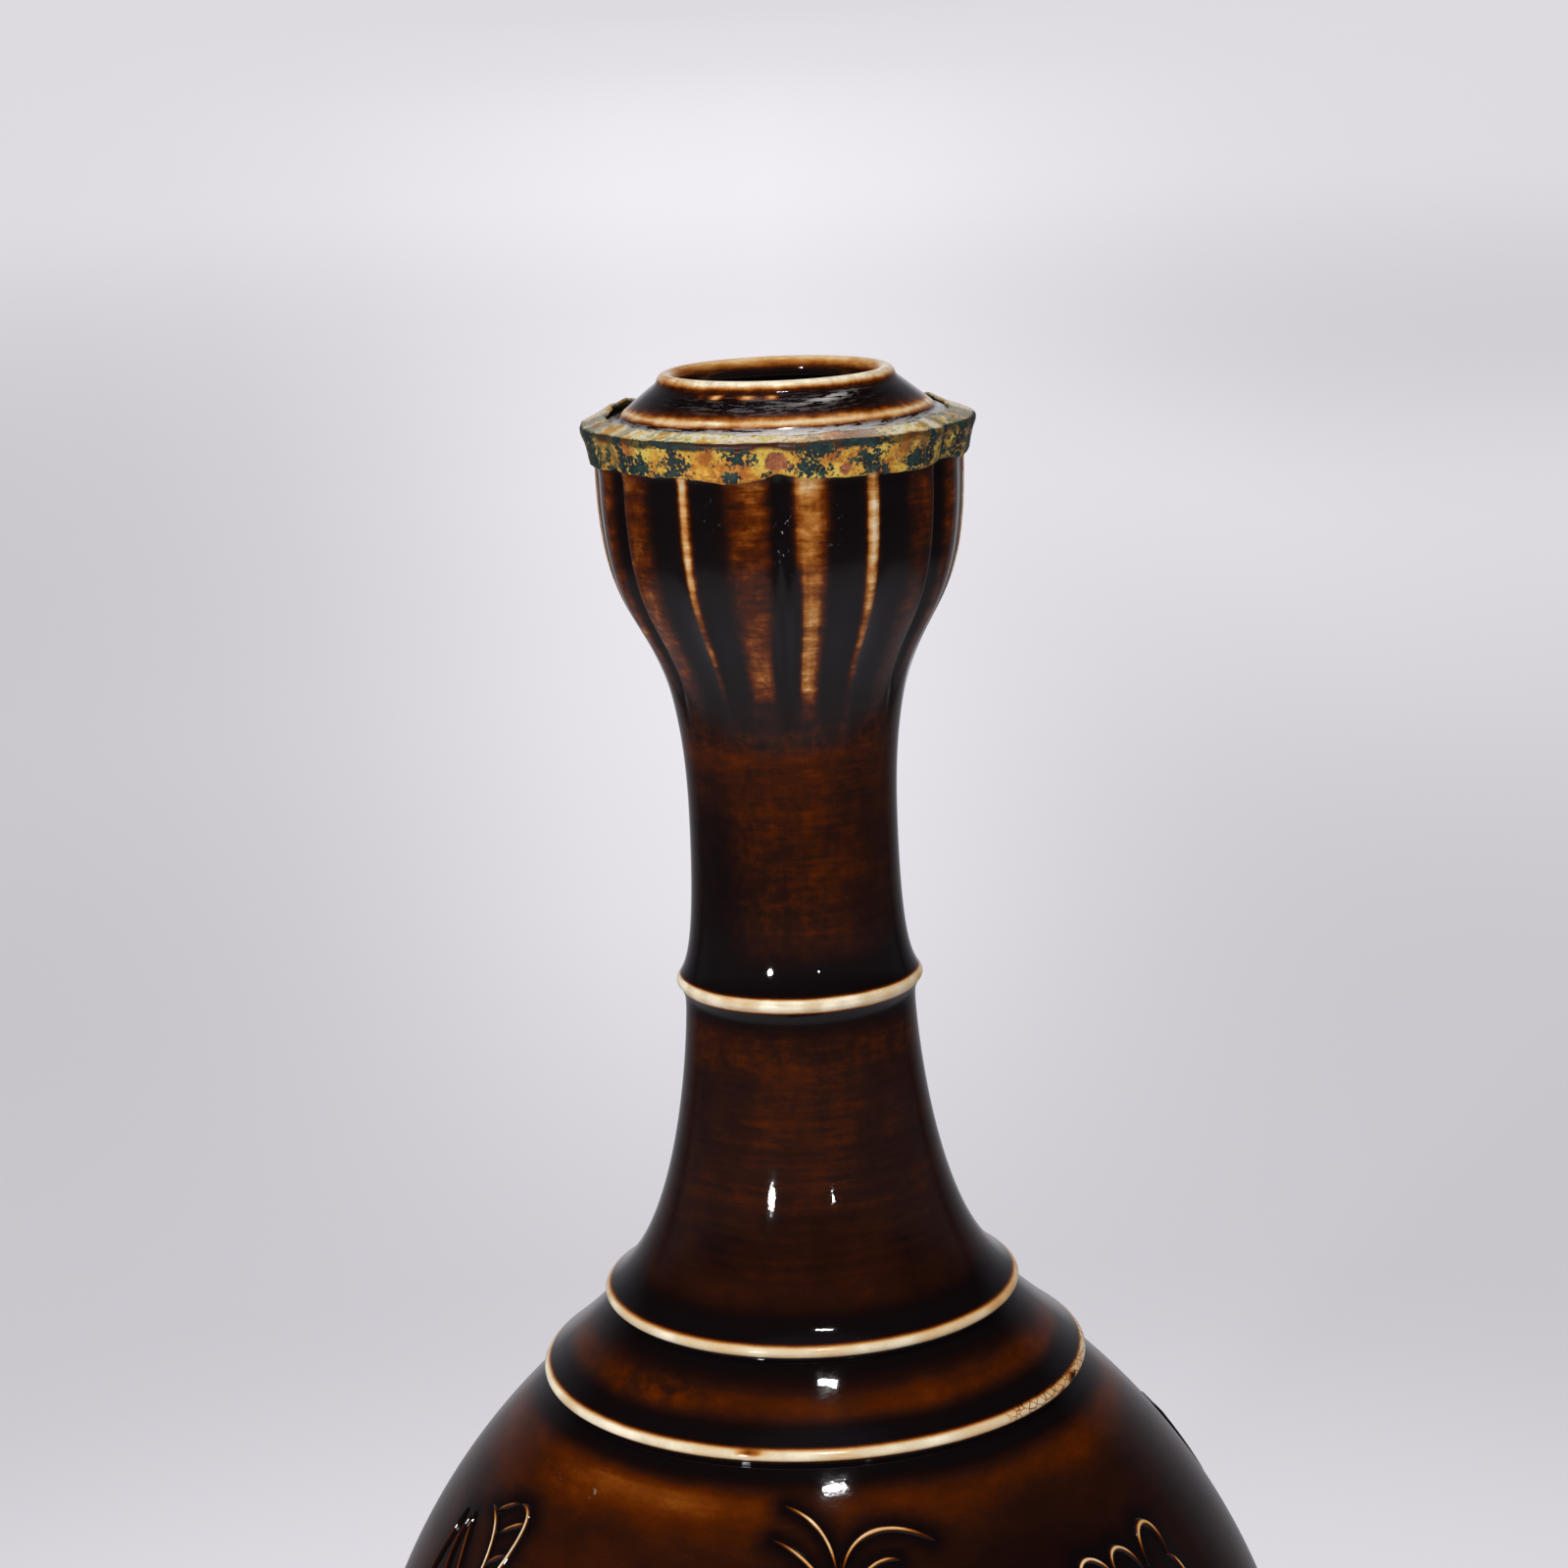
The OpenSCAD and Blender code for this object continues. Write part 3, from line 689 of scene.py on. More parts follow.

# %% [markdown]
# ## How thick the glaze lies
#
# All the colours of this pot come from one glaze. It is cream where it runs thin over a ring or a
# rib, amber on the open wall and near black where it pools: above and below each ring, beside each
# rib and round the relief. So each point carries one number, from 0 for a bare crest to 1 for a
# pool, and the finish turns that number into a colour. A painted map would do the same on flat
# work, but a number on the points follows the form and has no seam. Further down, a few places also
# get painted shade or a painted highlight through this number.

# %% Glaze along the profile
GLAZE_BY_HEIGHT = [
    (0.0, 0.9), (1.5, 0.85), (8, 0.95), (11, 0.95), (16, 0.72), (30, 0.62), (84, 0.62), (128, 0.65),
    (141, 0.65), (146, 0.60), (149, 0.54), (151, 0.51), (152.3, 0.54), (153.3, 0.68), (154.2, 0.94),
    (155.6, 1.0), (156.3, 0.9), (156.5, 0.45), (156.68, 0.08), (156.9, 0.035), (157.8, 0.035),
    (158.0, 0.12), (158.2, 0.5), (158.4, 0.94), (159.4, 1.0), (160.3, 0.80), (160.9, 0.57),
    (161.9, 0.52), (163.1, 0.58), (164.3, 0.76), (165.6, 0.95), (167.15, 0.98), (167.4, 0.6),
    (167.62, 0.08), (168.0, 0.05), (168.9, 0.05), (169.1, 0.14), (169.3, 0.5), (169.5, 0.95),
    (170.6, 1.0), (171.8, 0.92), (172.8, 0.74), (174, 0.66), (176, 0.66), (179, 0.69), (183, 0.66),
    (188, 0.63), (194, 0.61), (200, 0.61), (203, 0.59), (206, 0.57), (208.3, 0.58), (209.6, 0.68),
    (211, 0.88), (212.2, 0.97), (212.75, 0.9), (212.95, 0.3), (213.15, 0.04), (213.4, 0.025),
    (214.7, 0.025), (214.95, 0.1), (215.15, 0.6), (215.4, 0.95), (216.6, 1.0), (218.2, 0.95),
    (219.8, 0.8), (221.5, 0.68), (226, 0.62), (232, 0.61), (238, 0.60), (244, 0.56), (249, 0.54),
    (252, 0.63), (256, 0.78), (288, 0.8), (292.6, 0.85), (294.1, 0.85), (294.35, 0.6), (294.6, 0.3),
    (294.85, 0.11), (295.15, 0.07), (295.4, 0.22), (295.75, 0.44), (296.2, 0.7), (297.0, 0.93),
    (297.7, 0.95), (298.3, 0.8), (298.75, 0.55), (299.0, 0.3), (299.25, 0.13), (299.5, 0.03), (300, 0.0),
]
# Down the inside the list gives the distance from the lip
GLAZE_INSIDE = [(0.8, 0.05), (1.3, 0.14), (1.8, 0.28), (2.3, 0.6), (3.0, 0.9), (12, 0.97), (700, 0.95)]
TINY = 1e-4
heights, glaze_up = np.array(GLAZE_BY_HEIGHT).T
depths, glaze_down = np.array(GLAZE_INSIDE).T
places_up = [place_of(max(h, 0.02)) for h in heights[:-1]]
glaze_places = np.concatenate([places_up, [s_lip], s_lip + depths])
glaze_places = np.maximum.accumulate(glaze_places + TINY * np.arange(len(glaze_places)))
glaze = np.interp(place, glaze_places, np.concatenate([glaze_up, glaze_down]))
is_outside = place < s_lip
print("glaze along the profile:", len(glaze_places), "stations")

# %% [markdown]
# Each half of a clove has a pale stripe beside the groove, a dark run beside the rib and a cream
# line on the rib. The first list gives that rhythm over the share, and two more say how thick the
# glaze is in each of the twelve stripes and how wide the stripe is. The two stripes beside the
# front groove also drift and narrow on their way down, and a random row of beads breaks each rib.

# %% Glaze over the cloves
SHARE_STOPS = [0, 0.05, 0.09, 0.14, 0.2, 0.3, 0.38, 0.46, 0.53, 0.6, 0.7, 0.87, 0.905, 0.928, 0.948, 1]
SHARE_GLAZE = [1, 0.97, 0.75, 0.22, 0.03, 0.0, 0.03, 0.14, 0.42, 0.86, 1.0, 0.98, 0.8, 0.45, 0.1, 0.0]
AMBER = np.array([0.21, 0.57, 0.50, 0.37, 0.44, 0.39, 0.42, 0.37, 0.45, 0.47, 0.43, 0.42])
STRIPE_WIDTH = np.array([0.86, 1, 0.94, 1.08, 0.9, 1, 1.06, 0.94, 1, 0.9, 1, 1.1])
STRIPE_END, RIB_START = 0.7, 0.88
POOLED = 0.97
half_clove = (angle // HALF).astype(int) % len(AMBER)
front_right, front_left = half_clove == 0, half_clove == len(AMBER) - 1

amber = AMBER[half_clove] + 0.02 * np.sin(height / 2.3 + half_clove) + 0.1 * (1 - ease(252, 262, height))
amber += 0.05 * np.sin(height / 0.9) * front_right
# Thicker and thinner places in the two front stripes, as (amount, height, half height)
RIGHT_TONES = [(0.07, 288.5, 1.6), (0.12, 273.5, 3.5), (-0.05, 271, 1.2), (-0.04, 263.5, 4.5)]
LEFT_TONES = [(0.1, 272.5, 5), (-0.12, 261, 6)]
for stripe, tones in ((front_right, RIGHT_TONES), (front_left, LEFT_TONES)):
    for amount, at, tall in tones:
        amber += amount * bump(height, at, tall) * stripe

rng = np.random.default_rng(11)
bead_z = np.arange(245, 295, 1.5)
bead = np.array([np.interp(height, bead_z, rng.uniform(0, 1, len(bead_z)) ** 2) for _ in range(CLOVES)])
bead = bead[(angle // (2 * HALF)).astype(int) % CLOVES, np.arange(len(angle))]
crest = 0.01 + 0.42 * (1 - ease(252, 276, height)) + (0.22 + 0.22 * (1 - ease(262, 278, height))) * bead
on_rib = share > 0.9
lowest = np.where(on_rib, np.clip(crest, 0, 1), amber)

right_low, left_low = (1 - ease(272, 281, height)) * front_right, (1 - ease(262, 271, height)) * front_left
stripe_end = STRIPE_END * STRIPE_WIDTH[half_clove] * (1 - 0.28 * right_low) * (1 - 0.2 * left_low)
moved = share - 0.045 * front_right - 0.09 * right_low + 0.04 * front_left - 0.1 * left_low
in_stripe = moved * STRIPE_END / stripe_end
in_run = STRIPE_END + (moved - stripe_end) * (RIB_START - STRIPE_END) / (RIB_START - stripe_end)
pattern_share = np.clip(np.where(moved < stripe_end, in_stripe, in_run), 0, RIB_START)
rib_share = share - 0.014 * (1 - ease(262, 280, height)) - 0.012 * (half_clove >= 10) * on_rib
pattern_share = np.where(share > 0.84, rib_share, pattern_share)
clove_glaze = lowest + (POOLED - lowest) * np.interp(pattern_share, SHARE_STOPS, SHARE_GLAZE)
on_head = ease(250.5, 262, height) * (place < place_of(z_edge - 0.1))
glaze += (clove_glaze - glaze) * on_head
print("glaze on the head: mean", round(float(glaze[on_head > 0.5].mean()), 2))

# %% Glaze round the relief
CHUNKS = 24  # the lines are taken in parts, to spare memory
belt = np.flatnonzero((height > Z_BELT_LOW - 1) & (height < Z_LOW - 0.6) & is_outside)
nearest = np.full(len(belt), np.inf)
for chunk in np.array_split(spine[::2], CHUNKS):
    gap = np.linalg.norm(pot_points[belt, None, :] - chunk[None], axis=2)
    nearest = np.minimum(nearest, gap.min(1))
pool = 0.55 * (1 - ease(0.5, 1.9, nearest)) + 0.38 * (1 - ease(1.0, 4.2, nearest))
glaze[belt] += (POOLED - glaze[belt]) * pool
print("glaze on the belt: mean", round(float(glaze[belt].mean()), 2))

# %% [markdown]
# Some places in the photograph are marked by the fire or by use: pits in the front groove, a chip and
# fine crackle on the lowest ring, a reddish mottle on the collar, and scuffs on the mouth. Other
# marks are painted light and shade: the sides of the neck and the right side of the body are darker,
# the ring crests darken to the right, the front of the lip is paler as a painted highlight, and pale
# dashes on the cone are partly painted highlights.
# A small one is a bell on the surface, given by its azimuth from the front and its height. A large
# one is a zone, which rises, stays and falls again, both round the pot and up it.


# %% Marks in the glaze, and painted light and shade
around = (np.degrees(azimuth) + 90 + 180) % 360 - 180


def zone(x, start, full, fade, end):
    """0 before start and after end, and 1 from full to fade."""
    return ease(start, full, x) * (1 - ease(fade, end, x))


def spots(places):
    """The sum of bells on the outside: (strength, azimuth, height, width in mm, height in mm)."""
    total = np.zeros_like(height)
    for strength, azimuth_deg, z, wide, tall in places:
        arc = np.radians((around - azimuth_deg + 180) % 360 - 180) * np.maximum(radius, 1)
        total += strength * bump(arc, 0, wide) * bump(height, z, tall) * is_outside
    return total


CHIPS = [(0.35, -14, 157.7, 1.4, 0.35), (0.8, 68, 157.3, 1.0, 0.5)]
NECK_SPOTS = [(0.1, -38, 228, 5, 9), (0.12, 10, 207.6, 7, 1.6), (-0.05, -12, 204.5, 5, 2)]
CREAM_DOT = [(-0.14, 8.8, 278.3, 0.7, 0.8)]
# Pale dashes on the cone under the lip: partly chips, partly painted highlights
CONE_CHIPS_AND_GLINTS = [(-1.1, -28, 298, 1.2, 0.24), (-1.1, -13, 298, 1.6, 0.24)]
CONE_CHIPS_AND_GLINTS += [(-1.0, -2, 298, 1.1, 0.24), (-0.5, -36, 298, 0.6, 0.24)]
glaze += spots(CHIPS + NECK_SPOTS + CREAM_DOT + CONE_CHIPS_AND_GLINTS)

on_shoulder = zone(height, 60, 90, 148, 153)
GLAZE_TONES_AND_SHADE = [  # amount, where round the pot, where up it
    (0.2, zone(around, -95, -60, -47, -24), zone(height, 216, 222, 238, 250)),
    # painted shade: the right side of the upper neck is darker
    (0.08, zone(around, 25, 50, 80, 100), zone(height, 216, 222, 246, 254)),
    # painted shade: the right side of the body from 60 to 150 mm up is darker
    (0.045, zone(around, 2, 45, 100, 140), on_shoulder),
    (0.02, bump(around, -20, 14), on_shoulder),
    (-0.21, bump(around, -38, 15), bump(height, 152, 1.8)),
    (-0.05, bump(around, -21, 8), bump(height, 151, 1.8)),
    # painted shade: the right side of the body just below the lowest ring is darker still
    (0.07, zone(around, 10, 24, 100, 140), zone(height, 120, 130, 147, 150.5)),
    # painted shade: both sides of the lower neck are darker, at two heights
    (0.1, ease(12, 38, around) + ease(14, 34, -around), bump(height, 197, 9)),
    (0.05, ease(15, 40, around) + 0.6 * ease(30, 50, -around), bump(height, 177, 6)),
]
for amount, round_it, up_it in GLAZE_TONES_AND_SHADE:
    glaze += amount * round_it * up_it * is_outside
# The lip's glaze is a little thicker all round and at the back left. Towards the front the lip is made paler,
# a painted highlight.
by_lip = bump(height, 299.9, 0.9) * (abs(place - s_lip) < 4)
glaze += by_lip * (0.06 + 0.05 * bump(around, -85, 35) - 0.09 * bump(around, 10, 50))
on_crest = (glaze < 0.08) * is_outside * (height < 216)
# Uneven glaze on the ring crests, a little darker at the back, and painted shade that makes them darker to
# the right and paler to the left
crest_tone_and_side_shade = 0.03 * np.sin(around / 3.1) * np.sin(around / 7.7 + 1)
crest_tone_and_side_shade += 0.04 * ease(20, 60, around) - 0.02 * ease(20, 50, -around) + 0.03 * ease(95, 120, abs(around))
glaze = np.clip(glaze + on_crest * crest_tone_and_side_shade, 0, 1)

# %% Marks of the fire and of use, and a painted highlight on the ledge
mottle = 0.15 + 0.25 * zone(height, 203, 206, 208, 211) + spots([(0.7, -42, 162.6, 11, 1.7)])
mottle += 0.3 * zone(height, 217, 222, 236, 246) * ease(-30, 10, -around)
mottle = np.where(height > 250, 0.6, mottle) * is_outside
HEAD_PITS = [(1.0, 0.3, 280.5, 0.8, 3.5), (0.9, -22, 283.5, 0.9, 1.2), (0.5, 16, 281.5, 0.8, 2.2)]
BODY_PITS = [(0.5, -52, 150.5, 1.6, 0.9), (0.6, -44, 150.5, 1.2, 1.4)]
pits = spots(HEAD_PITS + BODY_PITS)
crackle = zone(around, 38, 50, 110, 130) * bump(height, 157.3, 1.2)
# Pale scuffs on the ledge, twice as strong at the front, where they also paint a highlight, and scuffs on the
# cone
scuffs_and_glint = (0.5 + 0.5 * bump(around, 0, 30)) * bump(height, 293.7, 0.6)
scuffs_and_glint += 0.6 * bump(height, 297.5 + 0.03 * (around - 20), 0.3) * bump(around, 24, 12)
scuffs_and_glint += 0.13 * bump(height, 297.0, 1.0) * bump(around, -2, 34)
banding = 0.15 + 0.75 * ease(172, 182, height) + 0.5 * ease(246, 258, height)
WRAP_R = 30.0
fields = {
    "glaze": glaze,
    "mottle": mottle,
    "pits": pits,
    "crackle": crackle,
    "scuffs_and_glint": scuffs_and_glint * is_outside,
    "banding": banding,
    "turning": zone(height, 172, 182, 246, 258),
    "bare": (1 - ease(0.7, 2.2, height)) * (radius > FOOT_R - FOOT_RIM - 1.4) * is_outside,
    "wrap": np.stack([WRAP_R * np.cos(azimuth), WRAP_R * np.sin(azimuth), place], 1),
}
# The two points on the axis take the value of the row beside them
fields = {name: np.concatenate([v, v[:1], v[-1:]]) for name, v in fields.items()}

# %% The pot and its relief as pieces
pot = new_mesh("glazed_pot", pot_points, faces, fields)
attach(pot, "root")
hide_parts("vase")

line_angle = np.arctan2(line_points[:, 1], line_points[:, 0])
line_place = np.interp(line_points[:, 2], body_z, steps[on_body])
line_wrap = np.stack([WRAP_R * np.cos(line_angle), WRAP_R * np.sin(line_angle), line_place], 1)
relief = new_mesh("relief_sprays", line_points, line_faces, {"glaze": line_glaze, "wrap": line_wrap})
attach(relief, "root")
print("pieces:", pot.name, "and", relief.name)

# %% [markdown]
# ## The band
#
# The band is thin gilt sheet copper, cut as a strip, wrapped round the head and tapped over its
# shoulder with small blows. Sheet that is dressed over a lobed form keeps facets and a wavy hem,
# and its free edges are never a true circle. A closed section is carried round the head, and the
# hem, the crease and the inner edge each wander by a few tenths of a millimetre.

# %% Waves of the band
BAND_H, BAND_T, BAND_GAP, FLANGE_W = 5.4, 0.5, 0.12, 2.7
BAND_COLUMNS = 720
band_angle = np.arange(BAND_COLUMNS) * 360 / BAND_COLUMNS
band_share = clove_share(band_angle)
band_round = (band_angle + CLOVE_TURN + 180) % 360 - 180


def wander(waves, seed):
    """A closed random line round the band, from this list of (number of waves, height in mm)."""
    phases = np.random.default_rng(seed).uniform(0, 2 * np.pi, len(waves))
    a = np.radians(band_angle)
    return sum(size * np.sin(n * a + phase) for (n, size), phase in zip(waves, phases))


hem_wave = wander([(3, 0.06), (7, 0.09), (13, 0.08), (29, 0.05), (61, 0.03)], 1)
hem_wave += 0.35 * bump(band_share, 0, 0.2)
hem_wave += 0.3 * bump(band_round, -0.5, 3.5) - 0.4 * bump(band_round, -18, 9)
dents = wander([(5, 0.05), (11, 0.06), (17, 0.06), (41, 0.03), (67, 0.02)], 2)
tip_wave = wander([(4, 0.12), (9, 0.15), (19, 0.14), (43, 0.12), (89, 0.08)], 3)
tip_wave += 0.75 * bump(band_round, 2, 42) - 0.6 * bump(abs(band_round), 88, 26)
crease_wave = wander([(6, 0.05), (15, 0.05), (37, 0.025), (71, 0.015)], 4)
lifted = bump(band_round, -118, 9) + 0.7 * bump(band_round, -104, 5) + 0.5 * bump(band_round, 118, 7)
dip = 0.5 * groove(band_share) + 0.25 * bump(band_share, 0, 0.3)
tilt_z = np.minimum(0.3 * (1 - np.sin(np.radians(band_round))), 0.45)
print("hem wave, mm:", round(float(np.ptp(hem_wave)), 2))

# %% Section of the band
skirt_r, hem_r, tip_r = edge_r + BAND_GAP, HEAD_R + BAND_GAP + 0.1, edge_r - FLANGE_W
hem_z = z_edge + BAND_GAP + BAND_T - BAND_H
ledge_r = CONE_R + 0.7
tip_z = Z_LEDGE - LEDGE_FALL * (tip_r - ledge_r) / (edge_r - 0.7 - ledge_r) + BAND_GAP
rise = skirt_r - hem_r
low_out = hem_r + 0.72 * BAND_T
hem_corner = (hem_r, hem_z, 1, 0.6, 1, 0, 0, 0, 0, 1)
# Each row: radius, height, share of the dip, share of the dents, share of the wandering hem,
# crease and inner edge, then how far up the skirt it lies, how much of a flange it is,
# and how many steps lead to the next row
BAND_ROWS = np.array(
    [
        hem_corner,
        (hem_r + 0.6 * BAND_T, hem_z - 0.03, 1, 0.8, 1, 0, 0, 0, 0, 1),
        (hem_r + BAND_T, hem_z + 0.15, 1, 1, 1, 0, 0, 0.02, 0, 4),
        (low_out + 0.33 * rise, hem_z + 1.5, 1, 1, 0.4, 0, 0, 0.3, 0, 4),
        (low_out + 0.66 * rise, hem_z + 3.0, 1, 1, 0, 0, 0, 0.6, 0, 5),
        (skirt_r + 0.85 * BAND_T, z_edge - 0.7, 1, 0.8, 0, 1, 0, 0.86, 0, 2),
        (skirt_r + 0.9 * BAND_T, z_edge - 0.15, 0.9, 0.6, 0, 1, 0, 0.95, 0, 2),
        (skirt_r + 0.6 * BAND_T, z_edge + 0.2, 0.8, 0.5, 0, 1, 0, 1, 0, 1),
        (skirt_r, z_edge + 0.42, 0.7, 0.4, 0, 0.5, 0, 1, 0.95, 2),
        (skirt_r - 0.9, z_edge + BAND_GAP + 0.75 * BAND_T + 0.2, 0.4, 0.3, 0, 0, 0.3, 1, 1, 3),
        (tip_r + 0.25, tip_z + 0.8 * BAND_T, 0, 0.2, 0, 0, 1, 1, 1, 1),
        (tip_r, tip_z + 0.35 * BAND_T, 0, 0, 0, 0, 1, 1, 1, 1),
        (tip_r + 0.1, tip_z - 0.02, 0, 0, 0, 0, 1, 1, 0.5, 1),
        (skirt_r - 0.8, z_edge + BAND_GAP + 0.05, 0.4, 0, 0, 0, 0.3, 1, 0, 1),
        (skirt_r, z_edge - 0.6, 1, 0, 0, 0, 0, 0.9, 0, 2),
        hem_corner,
    ]
)
row_places = np.concatenate([k + np.arange(int(n)) / int(n) for k, n in enumerate(BAND_ROWS[:-1, 9])])
r, z, dips, dented, hem, creased, inner, upward, flange = (
    np.interp(row_places, np.arange(len(BAND_ROWS)), column)[:, None] for column in BAND_ROWS.T[:9]
)
band_radius = r - dips * dip + dented * dents + inner * tip_wave
band_height = z + hem * hem_wave + creased * crease_wave + inner * (0.9 * lifted - 0.31 * tip_wave) + tilt_z
a = np.radians(band_angle + CLOVE_TURN - 90)
band_points = np.stack([band_radius * np.cos(a), band_radius * np.sin(a), band_height], -1).reshape(-1, 3)
ids = np.arange(len(row_places) * BAND_COLUMNS).reshape(-1, BAND_COLUMNS)
band_faces = []
for low_row, high_row in zip(ids, np.roll(ids, -1, axis=0)):
    band_faces += stitch(low_row, high_row)
print("band:", 2 * len(band_faces), "triangles")

# %% [markdown]
# The gilding, the bare copper and the dark corrosion gather in patches. Each patch is a bell on the
# skirt: its azimuth, its width in degrees, how far up the skirt it lies, its height and its
# strength. In front the patches follow the photograph, and behind they carry on in its manner.

# %% Patches on the band
TEAL = [
    (-85, 7, 0.5, 2, 0.95), (-72, 5, 0.5, 2, 1.0), (-62, 3, 0.2, 0.5, 0.45), (-52.5, 2.2, 0.5, 2, 1.0),
    (-46.5, 6, 0.28, 0.36, 1.0), (-36, 12, 0.92, 0.1, 0.7), (-35, 6, 0.02, 0.1, 0.6),
    (-31.2, 4.2, 0.34, 0.34, 1.0), (-31.5, 1.6, 0.7, 0.5, 0.9), (-17, 9, 0.9, 0.07, 0.6),
    (-13.5, 4, 0.1, 0.14, 0.8), (-11.8, 5, 0.62, 0.26, 0.85), (-4.5, 2.4, 0.1, 0.12, 0.75),
    (9, 6, 0.3, 0.26, 0.9), (10, 6.5, 0.8, 0.22, 1.0), (25, 9, 0.95, 0.16, 0.85), (27, 5, 0.4, 0.4, 0.75),
    (31, 2.4, 0.1, 0.14, 0.9), (44, 4.4, 0.3, 0.3, 1.0), (49.5, 1.8, 0.6, 0.7, 1.0),
    (57.5, 2.2, 0.5, 2, 0.95), (66, 5, 0.5, 1, 0.7), (80, 8, 0.5, 2, 0.95),
]
TEAL_BEHIND = (105, 121, 136, 152, 171, -172, -158, -141, -127, -110)
TEAL += [(turn, 6, 0.3 + 0.5 * (k % 2), 0.4, 0.95) for k, turn in enumerate(TEAL_BEHIND)]
COPPER = [
    (-0.8, 4.0, 0.45, 0.38, 0.95), (4, 3.0, 0.3, 0.3, 0.5), (16.5, 4.5, 0.55, 0.26, 0.55),
    (19.5, 2.6, 0.25, 0.25, 0.75), (-24, 6, 0.3, 0.4, 0.4), (36, 6, 0.5, 0.4, 0.5), (98, 6, 0.5, 0.5, 0.8),
    (143, 5, 0.4, 0.5, 0.8), (-166, 5, 0.4, 0.5, 0.9), (-134, 5, 0.6, 0.5, 0.7),
]


def patches(places):
    """The largest of these bells at each point, made half as strong again and held at 1."""
    total = np.zeros_like(band_radius)
    for turn, wide, up_at, tall, strength in places:
        round_bell = bump((band_round - turn + 180) % 360 - 180, 0, wide)
        total = np.maximum(total, strength * round_bell * bump(upward, up_at, tall))
    return np.minimum(1, 1.5 * total)


# The dark line just under the crease is painted shade in a tarnish colour, stronger at the front and nearly
# black to the left
crease_shade_line = ease(0.8, 0.9, upward + 0.05 * np.sin(np.radians(band_round) * 23))
crease_shade_line = crease_shade_line * (flange < 0.3) * (0.6 + 0.4 * bump(band_round, -8, 50))
band_fields = {
    "teal": patches(TEAL),
    "copper": patches(COPPER),
    "tarnish": np.minimum(0.12 + 0.88 * (ease(24, 46, band_round) + ease(50, 58, -band_round)), 1),
    "crease_shade_line": crease_shade_line,
    "crease_shade_left": ease(10, 30, -band_round) * crease_shade_line,
    "rim": bump(upward, 1.0, 0.08) * (flange < 0.95) * ease(48, 66, abs(band_round)),
    # paler towards the front, as a painted highlight on the flange
    "flange": flange * (1 - 0.32 * ease(36, 68, abs(band_round + 2))),
    "blush": flange * (bump(band_round, 21, 9) + 0.25 * bump(band_round, 5, 14)),
}
band_fields = {name: np.broadcast_to(v, band_radius.shape).ravel() for name, v in band_fields.items()}
band = new_mesh("gilt_band", band_points, band_faces, band_fields)
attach(band, "root")
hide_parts("rim_band")
print("patches:", len(TEAL), "dark and", len(COPPER), "copper")

# %% [markdown]
# ## The glaze as a material
#
# An iron glaze is glass coloured by its thickness: a thin coat lets the pale body through and fires
# cream to amber, and a thick one is dark brown to black. The finish reads the number on the points,
# breaks it up with the streaks that throwing lines and running glaze leave, and looks the colour up
# on a ramp from thin to thick. The streaks are strongest between cream and black, because a bare
# crest and a full pool are both even.

# %% Thickness of the glaze
GLASS_IOR = 1.5
GLAZE_STOPS = [
    (0.00, "#fff2d8"), (0.04, "#e2cfae"), (0.10, "#d9b27e"), (0.15, "#c99357"), (0.22, "#b0702f"),
    (0.30, "#8f501a"), (0.38, "#71360a"), (0.44, "#5a2503"), (0.50, "#4a1c02"), (0.56, "#3b1705"),
    (0.65, "#281109"), (0.78, "#1a0b08"), (0.90, "#110909"), (1.00, "#0f0a0c"),
]
glaze_material, tree = new_material("brown_iron_glaze")
wrapped = read("wrap", "Vector")


def streaks(squeeze, detail, roughness):
    """Noise on the unrolled surface, with cells 1 / squeeze mm long in each direction."""
    squeezed = add("ShaderNodeMapping", {"Vector": wrapped, "Scale": squeeze}).outputs[0]
    return noise(squeezed, 1.0, detail, roughness)


cells = streaks((0.42, 0.42, 0.55), 2.0, 0.6)
specks = streaks((1.6, 1.6, 1.9), 2.0, 0.6)
throwing = part_of(streaks((0.11, 0.11, 1.3), 3.0, 0.6), 0.13)
throwing = plus(throwing, part_of(streaks((0.03, 0.03, 0.55), 2.0, 0.5), 0.13))
throwing = plus(throwing, part_of(streaks((0.2, 0.2, 1.5), 3.0, 0.65), 0.2))
long_lines = part_of(streaks((0.015, 0.015, 1.1), 3.0, 0.6), 0.15)
broken = plus(part_of(streaks((0.1, 0.1, 0.14), 2.0, 0.55), 0.26), part_of(specks, 0.07))
broken = plus(broken, times(long_lines, read("turning")))
broken = plus(broken, times(throwing, read("banding")))
broken = plus(broken, times(part_of(cells, 0.6), read("mottle")))
base = read("glaze")
give = plus(times(times(minus(1.0, base), base), 3.6), 0.3)
thickness = plus(base, times(broken, give), clamp=True)
# Fine crackle: hairlines where cells of the glaze meet, on one side of the lowest ring only
crackled = add("ShaderNodeTexVoronoi", {"Vector": wrapped, "Scale": 0.8}, feature="DISTANCE_TO_EDGE")
hair = times(math_node("LESS_THAN", crackled.outputs["Distance"], 0.045), read("crackle"))
thickness = plus(thickness, times(hair, 0.3), clamp=True)
print("thickness:", len(GLAZE_STOPS), "stops from cream to black")

# %% [markdown]
# Scuffs run round the mouth as thin pale lines, and on the front of the ledge they also paint a
# highlight. Pits show as white specks, and the standing rim is bare clay. Under the gloss lie low
# ripples from throwing and a grain of half a millimetre.

# %% Glaze material
colour = ramp(thickness, GLAZE_STOPS)
scuff_and_glint_share = read("scuffs_and_glint")
scuff_limit = remap(scuff_and_glint_share, 0, 1, 0.55, 0.35)
scuff_and_glint_lines = times(math_node("GREATER_THAN", streaks((0.22, 0.22, 2.6), 4.0, 0.75), scuff_limit), scuff_and_glint_share)
